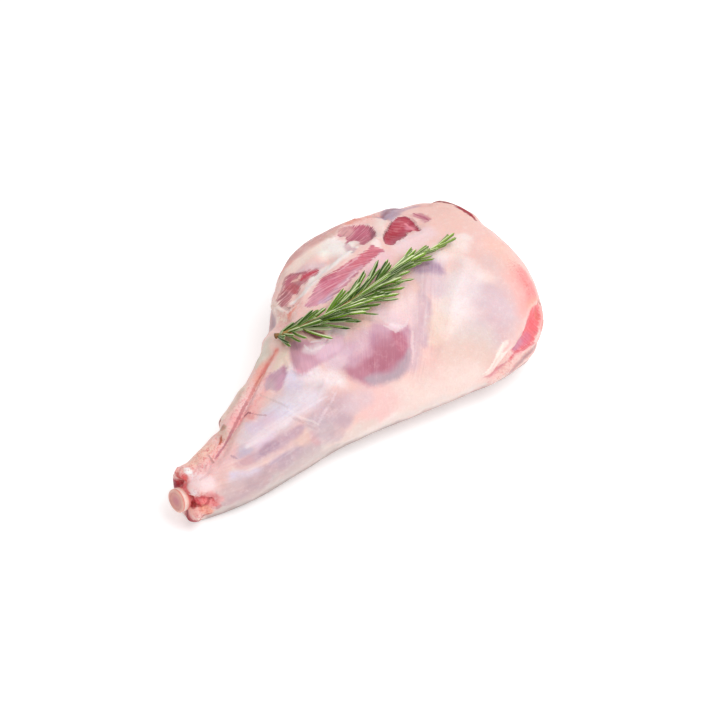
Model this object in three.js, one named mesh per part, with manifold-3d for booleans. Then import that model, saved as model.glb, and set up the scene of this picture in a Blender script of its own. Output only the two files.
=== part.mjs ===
// A raw leg of lamb, lying on its flat side, with the shank bone showing at the cut end and a
// sprig of rosemary laid along its top. Millimetres, +Z up. X runs along the leg, from the shank
// at -X to the rump at +X, and the origin is on the floor under the middle of the leg.

import * as THREE from 'three';
import { mergeVertices } from 'three/addons/utils/BufferGeometryUtils.js';
import Module from 'manifold-3d';

const wasm = await Module();
wasm.setup();

// ---- Driving dimensions --------------------------------------------------------------------

// The leg's form, one row for each place along it: its near and far edges as seen from above,
// its top, and the height at which each edge is widest.
const STATIONS = [
  { at: -168, near: -65, far: -37, top: 41, nearWaist: 21, farWaist: 21 },
  { at: -150, near: -71, far: -33, top: 45, nearWaist: 21, farWaist: 22 },
  { at: -118, near: -77, far: -21, top: 52, nearWaist: 22, farWaist: 24 },
  { at: -78, near: -77, far: 2, top: 62, nearWaist: 24, farWaist: 28 },
  { at: -43, near: -76, far: 29, top: 73, nearWaist: 26, farWaist: 34 },
  { at: -24, near: -78, far: 50, top: 79, nearWaist: 27, farWaist: 37 },
  { at: -6, near: -80, far: 71, top: 83, nearWaist: 28, farWaist: 40 },
  { at: 27, near: -85, far: 91, top: 88, nearWaist: 30, farWaist: 43 },
  { at: 72, near: -90, far: 94, top: 90, nearWaist: 30, farWaist: 44 },
  { at: 117, near: -91, far: 87, top: 89, nearWaist: 30, farWaist: 43 },
  { at: 152, near: -79, far: 69, top: 86, nearWaist: 29, farWaist: 42 },
  { at: 174, near: -63, far: 26, top: 76, nearWaist: 28, farWaist: 40 },
];
const SHANK_CAP = 6; // length over which the shank's end rounds off
const RUMP_CAP = 34; // length over which the rump's end rounds off
const RUMP_ROUNDING = 2.2; // exponent of that rounding: 2 is an ellipse, more is blunter
const RUMP_SLANT = 3; // how far the near side of the rump reaches past the far side
const RUMP_SLANT_FROM = 102; // place where the slant begins
const BASE_SINK = 7; // how far the round section reaches under the floor before it is cut flat
const SIDE_POWER = 0.92; // section exponents: below 1 is fuller than an ellipse
const TOP_POWER = 0.95;
const BASE_POWER = 0.8;

// Swells (lift above 0) and furrows (below 0) of the flesh and fat. Each follows a path of
// [place along the leg in mm, turn round it in degrees]: 0 is the far side, 90 the top and 180
// the near side. The lift fades to nothing at the reach.
const RELIEF = [
  { name: 'far fat ridge', reach: 15, lift: 3.5, path: [[-26, 42], [-8, 36], [15, 35], [44, 42], [97, 39]] },
  { name: 'white fat ridge', reach: 12, lift: 3.5,
    path: [[-30, 70], [-13, 74], [16, 77], [41, 75], [66, 72]] },
  { name: 'hollow between the ridges', reach: 13, lift: -4, path: [[-21, 54], [-8, 59], [7, 64], [26, 64]] },
  { name: 'upper hollow', reach: 14, lift: -3, path: [[54, 55], [69, 61]] },
  { name: 'square hollow', reach: 15, lift: -4, path: [[91, 68], [103, 68]] },
  { name: 'long muscle', reach: 11, lift: 2, path: [[-10, 84], [2, 86], [32, 84], [57, 80]] },
  { name: 'knee ridge', reach: 9, lift: 1.5, path: [[-18, 24], [-21, 40], [-22, 60]] },
  { name: 'knee hollow', reach: 12, lift: -5, path: [[-31, 14], [-33, 40], [-31, 60]] },
  { name: 'knee fat roll', reach: 10, lift: 2.5, path: [[-46, 30], [-47, 50], [-43, 66]] },
  { name: 'plum muscle', reach: 34, lift: 4.5, path: [[-2, 126], [20, 132]] },
  { name: 'hollow past the plum muscle', reach: 13, lift: -3,
    path: [[42, 116], [50, 128], [44, 142], [26, 154]] },
  { name: 'mauve muscle', reach: 16, lift: 2, path: [[-42, 94], [-24, 102]] },
  { name: 'seam by the mauve muscle', reach: 9, lift: -2,
    path: [[-50, 84], [-52, 100], [-42, 114], [-26, 122]] },
  { name: 'fat valley', reach: 13, lift: -3, path: [[102, 99], [80, 111], [62, 124], [50, 138]] },
  { name: 'rump dome', reach: 46, lift: 4, path: [[102, 128], [116, 124]] },
  { name: 'upper lip of the cut', reach: 7, lift: 3,
    path: [[146, 146], [134, 150], [118, 154], [99, 161], [85, 172]] },
  { name: 'cut strip', reach: 8, lift: -4,
    path: [[150, 154], [135, 158], [123, 163], [110, 168], [98, 176]] },
  { name: 'lower lip of the cut', reach: 9, lift: 3, path: [[138, 180], [124, 182], [105, 184], [88, 192]] },
  { name: 'upper calf', reach: 18, lift: 3, path: [[-112, 98], [-88, 108], [-62, 116]] },
  { name: 'middle calf', reach: 12, lift: 2, path: [[-132, 133], [-105, 142], [-78, 148], [-50, 152]] },
  { name: 'lower calf', reach: 15, lift: 2, path: [[-138, 170], [-87, 172], [-40, 172]] },
  { name: 'upper calf seam', reach: 8, lift: -2.5,
    path: [[-148, 118], [-131, 122], [-105, 130], [-73, 138], [-46, 140]] },
  { name: 'lower calf seam', reach: 7, lift: -2, path: [[-140, 150], [-118, 155], [-83, 160], [-50, 162]] },
  { name: 'heel cord', reach: 9, lift: 1.5, path: [[-60, 36], [-90, 42], [-120, 54], [-142, 64]] },
  { name: 'furrow by the heel cord', reach: 7, lift: -3,
    path: [[-54, 54], [-80, 58], [-100, 68], [-118, 84], [-138, 98]] },
  { name: 'fat flap', reach: 13, lift: 5, path: [[-86, 26], [-98, 27], [-108, 30]] },
  { name: 'notch under the fat flap', reach: 8, lift: -3.5, path: [[-118, 18], [-119, 42]] },
  { name: 'ankle knob', reach: 11, lift: 2, path: [[-159, 66], [-158, 74]] },
  { name: 'hollow behind the bone', reach: 8, lift: -5, path: [[-167, 70], [-165, 100]] },
  { name: 'white boss', reach: 9, lift: 3.5, path: [[-152, 126], [-158, 136]] },
  { name: 'blood furrow', reach: 6, lift: -3, path: [[-164, 140], [-160, 158], [-150, 166]] },
  { name: 'lower boss', reach: 9, lift: 4, path: [[-162, 178], [-163, 192]] },
  { name: 'rim of the far cut', reach: 12, lift: 2, path: [[134, 40], [148, 54], [154, 70]] },
  { name: 'far wall furrow', reach: 13, lift: -3, path: [[10, 6], [50, 3], [95, 4], [132, 8]] },
];
const PATH_STEPS = 6; // straight steps between two points of a path
const RELIEF_FLOOR = 3; // the relief fades in between these two heights above the floor
const RELIEF_FULL = 11;

// The leg's faceting
const BODY_RINGS = 52;
const RUMP_RINGS = 12;
const SHANK_RINGS = 5;
const RING_POINTS = 42;

// The shank bone: its cut face, the way it points, and its shaft inside the shank
const BONE_FACE = new THREE.Vector3(-171.4, -58, 27);
const BONE_FACING = new THREE.Vector3(-0.95, -0.1, 0.3).normalize();
const BONE_STRAIGHT = 9; // straight length behind the cut face
const BONE_SHAFT = [[-140, -50, 22], [-112, -45, 24], [-84, -39, 27], [-62, -33, 29]];
// [distance behind the cut face, radius]
const BONE_PROFILE = [[0, 8.4], [0.9, 9.5], [3.2, 9.7], [4.1, 9], [5.2, 10.3], [8, 10.6], [13, 9.4],
  [26, 8.2], [50, 7.6], [78, 7.8], [96, 8.4], [104, 7.6], [107, 4.6]];
const BONE_DISH = 0.7; // depth of the marrow dish in the cut face
const BONE_DISH_RADIUS = 5.2;
const BONE_SIDES = 20;
const BONE_GAP = 0.35; // clearance between the bone and the meat round it
const TUNNEL_MOUTH = 14; // how far the bone's tunnel is cut past the bone's face

// The rosemary: its stem's path, from the cut end to the tip
const STEM_PATH = [[-46, 5, 73], [-33, -3, 80], [-18, -8, 85.5], [6, -10, 90.5], [39, -6, 95],
  [72, 0, 96.5], [96, -3, 95.5], [112, -2, 95.5]];
const STEM_RADIUS_CUT = 1.7;
const STEM_RADIUS_TIP = 0.8;
const STEM_SIDES = 7;
const STEM_RINGS = 26;
const TUFTS = 13; // the needles spring from the stem in tufts
const NEEDLES_PER_TUFT = 8;
const TUFT_LENGTH = 0.035; // stretch of stem that one tuft covers, as a share of the stem
const TUFT_FIRST = 0.05; // where on the stem the tufts start and end, as a share of its length
const TUFT_LAST = 0.965;
const TAPER_FROM = 0.6; // share of the sprig after which it narrows towards its tip
const NEEDLE_LENGTH = 29; // of a needle half-way up the sprig
const NEEDLE_LENGTH_TIP = 17;
const NEEDLE_WIDTH = 2.4;
const NEEDLE_THICKNESS = 1.3;
const NEEDLE_TURN = 137.5; // degrees round the stem from one needle to the next
const NEEDLE_SPREAD = 32; // degrees between the stem and a needle at its root
const NEEDLE_SPREAD_TIP = 20;
const NEEDLE_HUG = 0.35; // how much of the spread a needle loses towards its tip
const NEEDLE_VARIATION = 0.35; // how far lengths and spreads vary, as a share
const NEEDLE_BREADTHS = [[0, 0.55], [0.45, 1], [0.9, 0.8]]; // [share of the length, share of the width]
const SPRIG_FLATNESS = 0.45; // height of the sprig as a share of its breadth
const SPRIG_CLEARANCE = 0.5; // least gap between the sprig and the meat
const TILT_ROOM = 0.5; // more of it, because the stem and the needles lie across slopes
const LOOK_DOWN_FROM = 200; // height from which the meat under the sprig is looked for

const RANDOM_SEED = 20417;

const FAT = new THREE.MeshStandardMaterial({ color: 0xf3d5ce, roughness: 0.35, metalness: 0 });
const BONE = new THREE.MeshStandardMaterial({ color: 0xe6b4a8, roughness: 0.45, metalness: 0 });
const ROSEMARY = new THREE.MeshStandardMaterial({ color: 0x6f8c3c, roughness: 0.5, metalness: 0 });

// ---- Small helpers -------------------------------------------------------------------------

const clamp01 = (t) => Math.min(Math.max(t, 0), 1);
const smooth = (t) => clamp01(t) ** 2 * (3 - 2 * clamp01(t));
const signedPower = (value, power) => Math.sign(value) * Math.abs(value) ** power;
const vector = ([x, y, z]) => new THREE.Vector3(x, y, z);

// A seeded source of numbers from 0 to 1 (mulberry32).
function makeRandom(seed) {
  let state = seed;
  return () => {
    state = (state + 0x6d2b79f5) | 0;
    let t = Math.imul(state ^ (state >>> 15), 1 | state);
    t = (t + Math.imul(t ^ (t >>> 7), 61 | t)) ^ t;
    return ((t ^ (t >>> 14)) >>> 0) / 4294967296;
  };
}

// The slope of a station column at row i, from its neighbours on both sides.
function slopeAt(key, i) {
  const rise = (a, b) => (STATIONS[b][key] - STATIONS[a][key]) / (STATIONS[b].at - STATIONS[a].at);
  if (i === 0) return rise(0, 1);
  if (i === STATIONS.length - 1) return rise(i - 1, i);
  const before = STATIONS[i].at - STATIONS[i - 1].at;
  const after = STATIONS[i + 1].at - STATIONS[i].at;
  return (rise(i - 1, i) * after + rise(i, i + 1) * before) / (before + after);
}

// A station column at any place along the leg, on a cubic Hermite curve through the rows.
function station(key, at) {
  let i = 0;
  while (i < STATIONS.length - 2 && at > STATIONS[i + 1].at) i += 1;
  const span = STATIONS[i + 1].at - STATIONS[i].at;
  const t = (at - STATIONS[i].at) / span;
  return (2 * t ** 3 - 3 * t ** 2 + 1) * STATIONS[i][key]
    + (t ** 3 - 2 * t ** 2 + t) * span * slopeAt(key, i)
    + (3 * t ** 2 - 2 * t ** 3) * STATIONS[i + 1][key] + (t ** 3 - t ** 2) * span * slopeAt(key, i + 1);
}

// Faces for a stack of rings of equal size, wound so that they face outwards when the rings run
// along the way that the points turn round anticlockwise. Each end closes on a single point.
function loftGeometry(rings, startPoint, endPoint) {
  const count = rings[0].length;
  const positions = [];
  const faces = [];
  for (const ring of rings) for (const point of ring) positions.push(point.x, point.y, point.z);
  for (let r = 0; r < rings.length - 1; r += 1) {
    for (let i = 0; i < count; i += 1) {
      const a = r * count + i;
      const b = r * count + ((i + 1) % count);
      faces.push(a, b, b + count, a, b + count, a + count);
    }
  }
  const start = rings.length * count;
  const end = start + 1;
  positions.push(startPoint.x, startPoint.y, startPoint.z, endPoint.x, endPoint.y, endPoint.z);
  const last = (rings.length - 1) * count;
  for (let i = 0; i < count; i += 1) {
    const next = (i + 1) % count;
    faces.push(start, next, i, end, last + i, last + next);
  }
  const geometry = new THREE.BufferGeometry();
  geometry.setAttribute('position', new THREE.Float32BufferAttribute(positions, 3));
  geometry.setIndex(faces);
  return geometry;
}

function toSolid(geometry) {
  const merged = mergeVertices(geometry, 1e-4);
  return new wasm.Manifold(new wasm.Mesh({
    numProp: 3,
    vertProperties: new Float32Array(merged.attributes.position.array),
    triVerts: new Uint32Array(merged.index.array),
  }));
}

function toGeometry(solid) {
  const mesh = solid.getMesh();
  const geometry = new THREE.BufferGeometry();
  geometry.setAttribute('position', new THREE.BufferAttribute(new Float32Array(mesh.vertProperties), 3));
  geometry.setIndex(new THREE.BufferAttribute(new Uint32Array(mesh.triVerts), 1));
  return geometry;
}

function namedMesh(name, geometry, material) {
  const mesh = new THREE.Mesh(geometry, material);
  mesh.name = name;
  geometry.computeVertexNormals();
  return mesh;
}

// ---- The meat ------------------------------------------------------------------------------

// A point of the leg's plain form, before its relief.
function skinPoint(at, turnDegrees) {
  const first = STATIONS[0].at;
  const last = STATIONS[STATIONS.length - 1].at;
  const turn = THREE.MathUtils.degToRad(turnDegrees);
  const rump = clamp01((at - (last - RUMP_CAP)) / RUMP_CAP);
  const shank = clamp01((first + SHANK_CAP - at) / SHANK_CAP);
  const fullness = Math.sqrt(Math.max(1 - rump ** RUMP_ROUNDING, 0))
    * Math.sqrt(Math.max(1 - shank ** 2, 0));
  const near = station('near', at);
  const far = station('far', at);
  const farShare = smooth((1 + Math.cos(turn)) / 2);
  const waist = THREE.MathUtils.lerp(station('nearWaist', at), station('farWaist', at), farShare);
  const side = fullness * signedPower(Math.cos(turn), SIDE_POWER);
  const rise = Math.sin(turn);
  const z = rise >= 0
    ? waist + fullness * (station('top', at) - waist) * rise ** TOP_POWER
    : waist - fullness * (waist + BASE_SINK) * (-rise) ** BASE_POWER;
  const slant = RUMP_SLANT * smooth((at - RUMP_SLANT_FROM) / (last - RUMP_SLANT_FROM)) * side;
  return new THREE.Vector3(at - slant, (near + far) / 2 + ((far - near) / 2) * side, Math.max(z, 0));
}

// The outward direction of the plain form.
function skinNormal(at, turnDegrees) {
  const first = STATIONS[0].at + 0.2;
  const last = STATIONS[STATIONS.length - 1].at - 0.2;
  const place = THREE.MathUtils.clamp(at, first, last);
  const along = skinPoint(place + 0.15, turnDegrees).sub(skinPoint(place - 0.15, turnDegrees));
  const round = skinPoint(place, turnDegrees + 0.5).sub(skinPoint(place, turnDegrees - 0.5));
  return round.cross(along).normalize();
}

// Each path of the relief as a chain of points on the plain form.
const RELIEF_CHAINS = RELIEF.map(({ path, reach, lift }) => {
  const chain = [];
  for (let i = 0; i < path.length - 1; i += 1) {
    for (let step = 0; step < PATH_STEPS; step += 1) {
      const share = step / PATH_STEPS;
      chain.push(skinPoint(
        THREE.MathUtils.lerp(path[i][0], path[i + 1][0], share),
        THREE.MathUtils.lerp(path[i][1], path[i + 1][1], share),
      ));
    }
  }
  chain.push(skinPoint(...path[path.length - 1]));
  return { chain, reach, lift };
});

function distanceToChain(point, chain) {
  const nearest = new THREE.Vector3();
  let least = Infinity;
  for (let i = 0; i < chain.length - 1; i += 1) {
    new THREE.Line3(chain[i], chain[i + 1]).closestPointToPoint(point, true, nearest);
    least = Math.min(least, nearest.distanceTo(point));
  }
  return least;
}

// The sum of the swells and furrows at a point of the plain form.
function reliefLift(point) {
  let total = 0;
  for (const { chain, reach, lift } of RELIEF_CHAINS) {
    const share = distanceToChain(point, chain) / reach;
    if (share < 1) total += lift * (1 - share ** 2) ** 2;
  }
  return total * smooth((point.z - RELIEF_FLOOR) / (RELIEF_FULL - RELIEF_FLOOR));
}

function fleshPoint(at, turnDegrees) {
  const point = skinPoint(at, turnDegrees);
  const lift = reliefLift(point);
  if (lift !== 0) point.addScaledVector(skinNormal(at, turnDegrees), lift);
  point.z = Math.max(point.z, 0);
  return point;
}

// Places of the rings: close together where the two ends round off.
function ringPlaces() {
  const first = STATIONS[0].at;
  const last = STATIONS[STATIONS.length - 1].at;
  const places = [];
  for (let i = 1; i <= SHANK_RINGS; i += 1) {
    places.push(first + SHANK_CAP * (1 - Math.cos((i / SHANK_RINGS) * (Math.PI / 2))));
  }
  const bodyStart = first + SHANK_CAP;
  const bodyEnd = last - RUMP_CAP;
  for (let i = 1; i <= BODY_RINGS; i += 1) {
    places.push(THREE.MathUtils.lerp(bodyStart, bodyEnd, i / BODY_RINGS));
  }
  for (let i = 1; i < RUMP_RINGS; i += 1) {
    places.push(bodyEnd + RUMP_CAP * Math.sin((i / RUMP_RINGS) * (Math.PI / 2)));
  }
  return places;
}

function buildFlesh() {
  const rings = ringPlaces().map((at) => {
    const ring = [];
    for (let i = 0; i < RING_POINTS; i += 1) ring.push(fleshPoint(at, (360 * i) / RING_POINTS));
    return ring;
  });
  return loftGeometry(rings, skinPoint(STATIONS[0].at, 0), skinPoint(STATIONS[STATIONS.length - 1].at, 0));
}

// ---- The shank bone ------------------------------------------------------------------------

const BONE_LINE = new THREE.CatmullRomCurve3([
  BONE_FACE.clone(),
  BONE_FACE.clone().addScaledVector(BONE_FACING, -BONE_STRAIGHT / 2),
  BONE_FACE.clone().addScaledVector(BONE_FACING, -BONE_STRAIGHT),
  ...BONE_SHAFT.map(vector),
]);

// Rings round a curve, each square to it: a list of [distance along it, radius].
function ringsAlong(curve, profile, sides) {
  const length = curve.getLength();
  return profile.map(([distance, radius]) => {
    const share = clamp01(distance / length);
    const centre = curve.getPointAt(share);
    const forward = curve.getTangentAt(share);
    const across = new THREE.Vector3(0, 0, 1).cross(forward).normalize();
    const upright = forward.clone().cross(across);
    const ring = [];
    for (let i = 0; i < sides; i += 1) {
      const angle = (2 * Math.PI * i) / sides;
      ring.push(centre.clone()
        .addScaledVector(across, radius * Math.cos(angle))
        .addScaledVector(upright, radius * Math.sin(angle)));
    }
    return ring;
  });
}

function buildBone() {
  const rings = ringsAlong(BONE_LINE, [[0, BONE_DISH_RADIUS], ...BONE_PROFILE], BONE_SIDES);
  const dishBottom = BONE_FACE.clone().addScaledVector(BONE_FACING, -BONE_DISH);
  const [shaftEnd] = BONE_PROFILE[BONE_PROFILE.length - 1];
  return loftGeometry(rings, dishBottom, BONE_LINE.getPointAt(shaftEnd / BONE_LINE.getLength()));
}

// The tunnel that the bone fills: its own shape a gap larger, carried out past the cut face.
function buildBoneTunnel() {
  const profile = BONE_PROFILE.map(([distance, radius]) => [distance, radius + BONE_GAP]);
  const rings = ringsAlong(BONE_LINE, profile, BONE_SIDES);
  const mouth = BONE_FACE.clone().addScaledVector(BONE_FACING, TUNNEL_MOUTH);
  const mouthRing = rings[1].map((point) => point.clone().addScaledVector(BONE_FACING, TUNNEL_MOUTH));
  return loftGeometry([mouthRing, ...rings.slice(1)], mouth, BONE_LINE.getPointAt(1));
}

// ---- The rosemary --------------------------------------------------------------------------

const STEM_LINE = new THREE.CatmullRomCurve3(STEM_PATH.map(vector));

// Lifts points that would sink into the meat, so that what they carry lies on it.
function liftedClear(points, meat, clearance) {
  const caster = new THREE.Raycaster();
  const down = new THREE.Vector3(0, 0, -1);
  return points.map((point) => {
    caster.set(new THREE.Vector3(point.x, point.y, LOOK_DOWN_FROM), down);
    const [hit] = caster.intersectObject(meat);
    if (!hit) return point;
    return new THREE.Vector3(point.x, point.y, Math.max(point.z, hit.point.z + clearance));
  });
}

function buildStem(meat) {
  const clearance = STEM_RADIUS_CUT + SPRIG_CLEARANCE + TILT_ROOM;
  const points = liftedClear(STEM_LINE.getSpacedPoints(STEM_RINGS), meat, clearance);
  const line = new THREE.CatmullRomCurve3(points);
  const length = line.getLength();
  const profile = [];
  for (let i = 0; i <= STEM_RINGS; i += 1) {
    const share = i / STEM_RINGS;
    profile.push([length * share, THREE.MathUtils.lerp(STEM_RADIUS_CUT, STEM_RADIUS_TIP, share)]);
  }
  const rings = ringsAlong(line, profile, STEM_SIDES);
  const geometry = loftGeometry(rings, line.getPointAt(0), line.getPointAt(1));
  return { line, geometry };
}

// One needle: a thin blade that springs from the stem, leans towards the tip and ends bluntly.
function buildNeedle(root, forward, outward, length, spreadDegrees, meat) {
  const spread = THREE.MathUtils.degToRad(spreadDegrees);
  const spots = [root];
  for (let i = 1; i < NEEDLE_BREADTHS.length; i += 1) {
    const from = NEEDLE_BREADTHS[i - 1][0];
    const to = NEEDLE_BREADTHS[i][0];
    const angle = spread * (1 - NEEDLE_HUG * (from + to));
    const heading = forward.clone().multiplyScalar(Math.cos(angle))
      .addScaledVector(outward, Math.sin(angle));
    spots.push(spots[i - 1].clone().addScaledVector(heading, length * (to - from)));
  }
  const centres = liftedClear(spots, meat, NEEDLE_THICKNESS / 2 + SPRIG_CLEARANCE + TILT_ROOM);
  const along = centres.map((centre, i) => {
    const before = centres[Math.max(i - 1, 0)];
    const after = centres[Math.min(i + 1, centres.length - 1)];
    return after.clone().sub(before).normalize();
  });
  const rings = centres.map((centre, i) => {
    const across = new THREE.Vector3(0, 0, 1).cross(along[i]).normalize();
    const upright = along[i].clone().cross(across);
    const half = (NEEDLE_WIDTH / 2) * NEEDLE_BREADTHS[i][1];
    const thick = (NEEDLE_THICKNESS / 2) * NEEDLE_BREADTHS[i][1];
    return [
      centre.clone().addScaledVector(across, half),
      centre.clone().addScaledVector(upright, thick),
      centre.clone().addScaledVector(across, -half),
      centre.clone().addScaledVector(upright, -thick),
    ];
  });
  const last = centres.length - 1;
  const tip = centres[last].clone().addScaledVector(along[last], length * (1 - NEEDLE_BREADTHS[last][0]));
  return loftGeometry(rings, centres[0], tip);
}

function buildSprig(meat) {
  const random = makeRandom(RANDOM_SEED);
  const varied = (value) => value * (1 + NEEDLE_VARIATION * (random() - 0.5));
  const { line, geometry } = buildStem(meat);
  let sprig = toSolid(geometry);
  for (let i = 0; i < TUFTS * NEEDLES_PER_TUFT; i += 1) {
    const climb = Math.floor(i / NEEDLES_PER_TUFT) / (TUFTS - 1);
    const share = THREE.MathUtils.lerp(TUFT_FIRST, TUFT_LAST, climb) + TUFT_LENGTH * (random() - 0.5);
    const forward = line.getTangentAt(share);
    const across = new THREE.Vector3(0, 0, 1).cross(forward).normalize();
    const upright = forward.clone().cross(across);
    const angle = THREE.MathUtils.degToRad(i * NEEDLE_TURN);
    const outward = across.clone().multiplyScalar(Math.cos(angle))
      .addScaledVector(upright, Math.sin(angle) * SPRIG_FLATNESS).normalize();
    const taper = smooth((climb - TAPER_FROM) / (1 - TAPER_FROM));
    const length = varied(THREE.MathUtils.lerp(NEEDLE_LENGTH, NEEDLE_LENGTH_TIP, taper));
    const spread = varied(THREE.MathUtils.lerp(NEEDLE_SPREAD, NEEDLE_SPREAD_TIP, taper));
    sprig = sprig.add(toSolid(buildNeedle(line.getPointAt(share), forward, outward, length, spread, meat)));
  }
  return toGeometry(sprig);
}

// The meat round the bone, without any scrap that the tunnel cuts loose.
function buildMeat() {
  const bodies = toSolid(buildFlesh()).subtract(toSolid(buildBoneTunnel())).decompose();
  bodies.sort((a, b) => b.volume() - a.volume());
  return toGeometry(bodies[0]);
}

// ---- The whole -----------------------------------------------------------------------------

const meatMesh = namedMesh('leg_meat', buildMeat(), FAT);
const boneMesh = namedMesh('shank_bone', buildBone(), BONE);
const sprigMesh = namedMesh('rosemary_sprig', buildSprig(meatMesh), ROSEMARY);

const leg = new THREE.Group();
leg.add(meatMesh, boneMesh, sprigMesh);

export default leg;
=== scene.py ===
"""The looks of a raw leg of lamb with a sprig of rosemary on it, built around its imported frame.

The leg lies along X, from the cut shank at -X to the rump at +X, with +Y on its far side. A place on
its skin is given as (at, turn): millimetres along the leg, and degrees round it, where 0 is the far
side, 90 the top and 180 the near side. Forms are worked out in millimetres and made in metres.
"""

import logging
import math
from dataclasses import dataclass, field
from enum import Enum
from functools import partial
from itertools import product
from typing import NamedTuple

import bpy
import numpy as np
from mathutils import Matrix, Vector
from mathutils.bvhtree import BVHTree

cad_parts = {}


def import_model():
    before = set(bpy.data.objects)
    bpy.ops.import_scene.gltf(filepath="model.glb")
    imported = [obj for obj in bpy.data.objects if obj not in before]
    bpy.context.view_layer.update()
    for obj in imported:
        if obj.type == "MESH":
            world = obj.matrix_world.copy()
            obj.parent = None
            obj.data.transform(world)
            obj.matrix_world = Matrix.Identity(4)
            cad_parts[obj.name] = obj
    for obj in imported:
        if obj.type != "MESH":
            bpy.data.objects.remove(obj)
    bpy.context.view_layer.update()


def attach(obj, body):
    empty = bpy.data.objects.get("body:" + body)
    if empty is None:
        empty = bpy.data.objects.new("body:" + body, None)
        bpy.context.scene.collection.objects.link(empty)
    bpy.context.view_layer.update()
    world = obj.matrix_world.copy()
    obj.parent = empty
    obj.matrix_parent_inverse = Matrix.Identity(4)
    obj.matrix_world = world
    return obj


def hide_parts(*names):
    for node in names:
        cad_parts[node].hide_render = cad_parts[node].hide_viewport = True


LOG = logging.getLogger("leg_of_lamb")
MM = 0.001
GAMMA = 2.2  # washes are mixed as the eye sees them, in light raised to one over this
Place = tuple[float, float]
Path = tuple[Place, ...]
Spot = tuple[float, float, float]
Array = np.ndarray
Piece = bpy.types.Object
Socket = bpy.types.NodeSocket
Tree = bpy.types.NodeTree


# ---- Colour, nodes and meshes ----


def linear(colour: str) -> tuple[float, float, float, float]:
    """Turns an sRGB hex colour into linear light.

    Args:
        colour: Six hex digits after a hash sign.

    Returns:
        Red, green, blue and an alpha of 1.
    """
    levels = (int(colour[i:i + 2], 16) / 255 for i in (1, 3, 5))
    red, green, blue = (c / 12.92 if c <= 0.04045 else ((c + 0.055) / 1.055) ** 2.4 for c in levels)
    return (red, green, blue, 1.0)


def rgb(colour: str) -> Array:
    """Returns the red, green and blue of an sRGB hex colour in linear light."""
    return np.array(linear(colour)[:3])


def per_metre(size_mm: float) -> float:
    """Returns the pattern scale at which one cell measures size_mm."""
    return 1 / (size_mm * MM)


def add_node(tree: Tree, kind: str, inputs: dict | None = None, output: int | str = 0,
             **settings) -> Socket | None:
    """Adds a node with its settings, and fills or links its inputs.

    Args:
        tree: The node tree that gets the node.
        kind: The node's type name, after its "ShaderNode".
        inputs: For each input's name or number, a value or the output socket that feeds it.
        output: Name or number of the output that is wanted.
        **settings: Properties of the node itself.

    Returns:
        That output's socket, or None where the node has no outputs.
    """
    node = tree.nodes.new("ShaderNode" + kind)
    for name, value in settings.items():
        setattr(node, name, value)
    for name, value in (inputs or {}).items():
        if isinstance(value, Socket):
            tree.links.new(value, node.inputs[name])
        else:
            node.inputs[name].default_value = value
    return node.outputs[output] if node.outputs else None


MIX_A, MIX_B, MIX_RESULT = 6, 7, 2  # a colour Mix node's sockets


def new_material(name: str) -> tuple[bpy.types.Material, Tree]:
    """Returns an empty node material and its tree."""
    material = bpy.data.materials.new(name)
    material.use_nodes = True
    material.node_tree.nodes.clear()
    return material, material.node_tree


class Pattern(NamedTuple):
    """Smooth noise that gives a finish one of its patterns."""

    size_mm: float  # size of one cell, or its width where the pattern is drawn out along the grain
    detail: float = 3
    roughness: float = 0.62
    distortion: float = 0
    along_mm: float = 0  # length of one cell along the painted grain, where it is drawn out


def add_patterns(tree: Tree, finish: object) -> dict[str, Socket]:
    """Adds the noise of each pattern that a finish has.

    Args:
        tree: The node tree that gets them.
        finish: The finish, whose fields hold the patterns.

    Returns:
        The noise of each pattern by its field's name.
    """
    spot = add_node(tree, "TexCoord", output="Object")
    noises = {}
    for name, pattern in vars(finish).items():
        if not isinstance(pattern, Pattern):
            continue
        place, scale = spot, per_metre(pattern.size_mm)
        if pattern.along_mm:
            grain = add_node(tree, "Attribute", output="Vector", attribute_name="grain")
            stretch = (1 / pattern.along_mm, 1 / pattern.size_mm, 1.0)
            place = add_node(tree, "VectorMath", {0: grain, 1: stretch}, operation="MULTIPLY")
            scale = 1.0
        noises[name] = add_node(tree, "TexNoise", {
            "Vector": place, "Scale": scale, "Detail": pattern.detail, "Roughness": pattern.roughness,
            "Distortion": pattern.distortion})
    return noises


class Layer(NamedTuple):
    """A colour that shows over another as a value passes from low to high."""

    colour: str | Socket
    value: Socket
    low: float = 0
    high: float = 1
    strength: float = 1
    within: Socket | float = 1  # share of it that shows at each point
    eased: bool = False


def lay_colours(tree: Tree, under: Socket | tuple, *layers: Layer) -> Socket:
    """Lays colours over a tint, one after another.

    Args:
        tree: The node tree that gets them.
        under: The tint below them.
        *layers: The colours in order.

    Returns:
        The colour of the whole.
    """
    for layer in layers:
        easing = "SMOOTHSTEP" if layer.eased else "LINEAR"
        share = add_node(tree, "MapRange", {
            "Value": layer.value, "From Min": layer.low, "From Max": layer.high,
            "To Max": layer.strength}, interpolation_type=easing)
        share = add_node(tree, "Math", {0: share, 1: layer.within}, operation="MULTIPLY")
        over = linear(layer.colour) if isinstance(layer.colour, str) else layer.colour
        under = add_node(tree, "Mix", {"Factor": share, MIX_A: under, MIX_B: over},
                         MIX_RESULT, data_type="RGBA")
    return under


def add_surface(tree: Tree, height: Socket, bump: float, relief_mm: float, inputs: dict) -> None:
    """Ends a material with its bumped surface.

    Args:
        tree: The material's node tree.
        height: The fine relief.
        bump: How strongly it shows.
        relief_mm: How deep it is.
        inputs: What the surface's other inputs get.
    """
    normal = add_node(tree, "Bump", {"Height": height, "Strength": bump, "Distance": relief_mm * MM})
    shader = add_node(tree, "BsdfPrincipled", {**inputs, "Normal": normal})
    add_node(tree, "OutputMaterial", {"Surface": shader})


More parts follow.
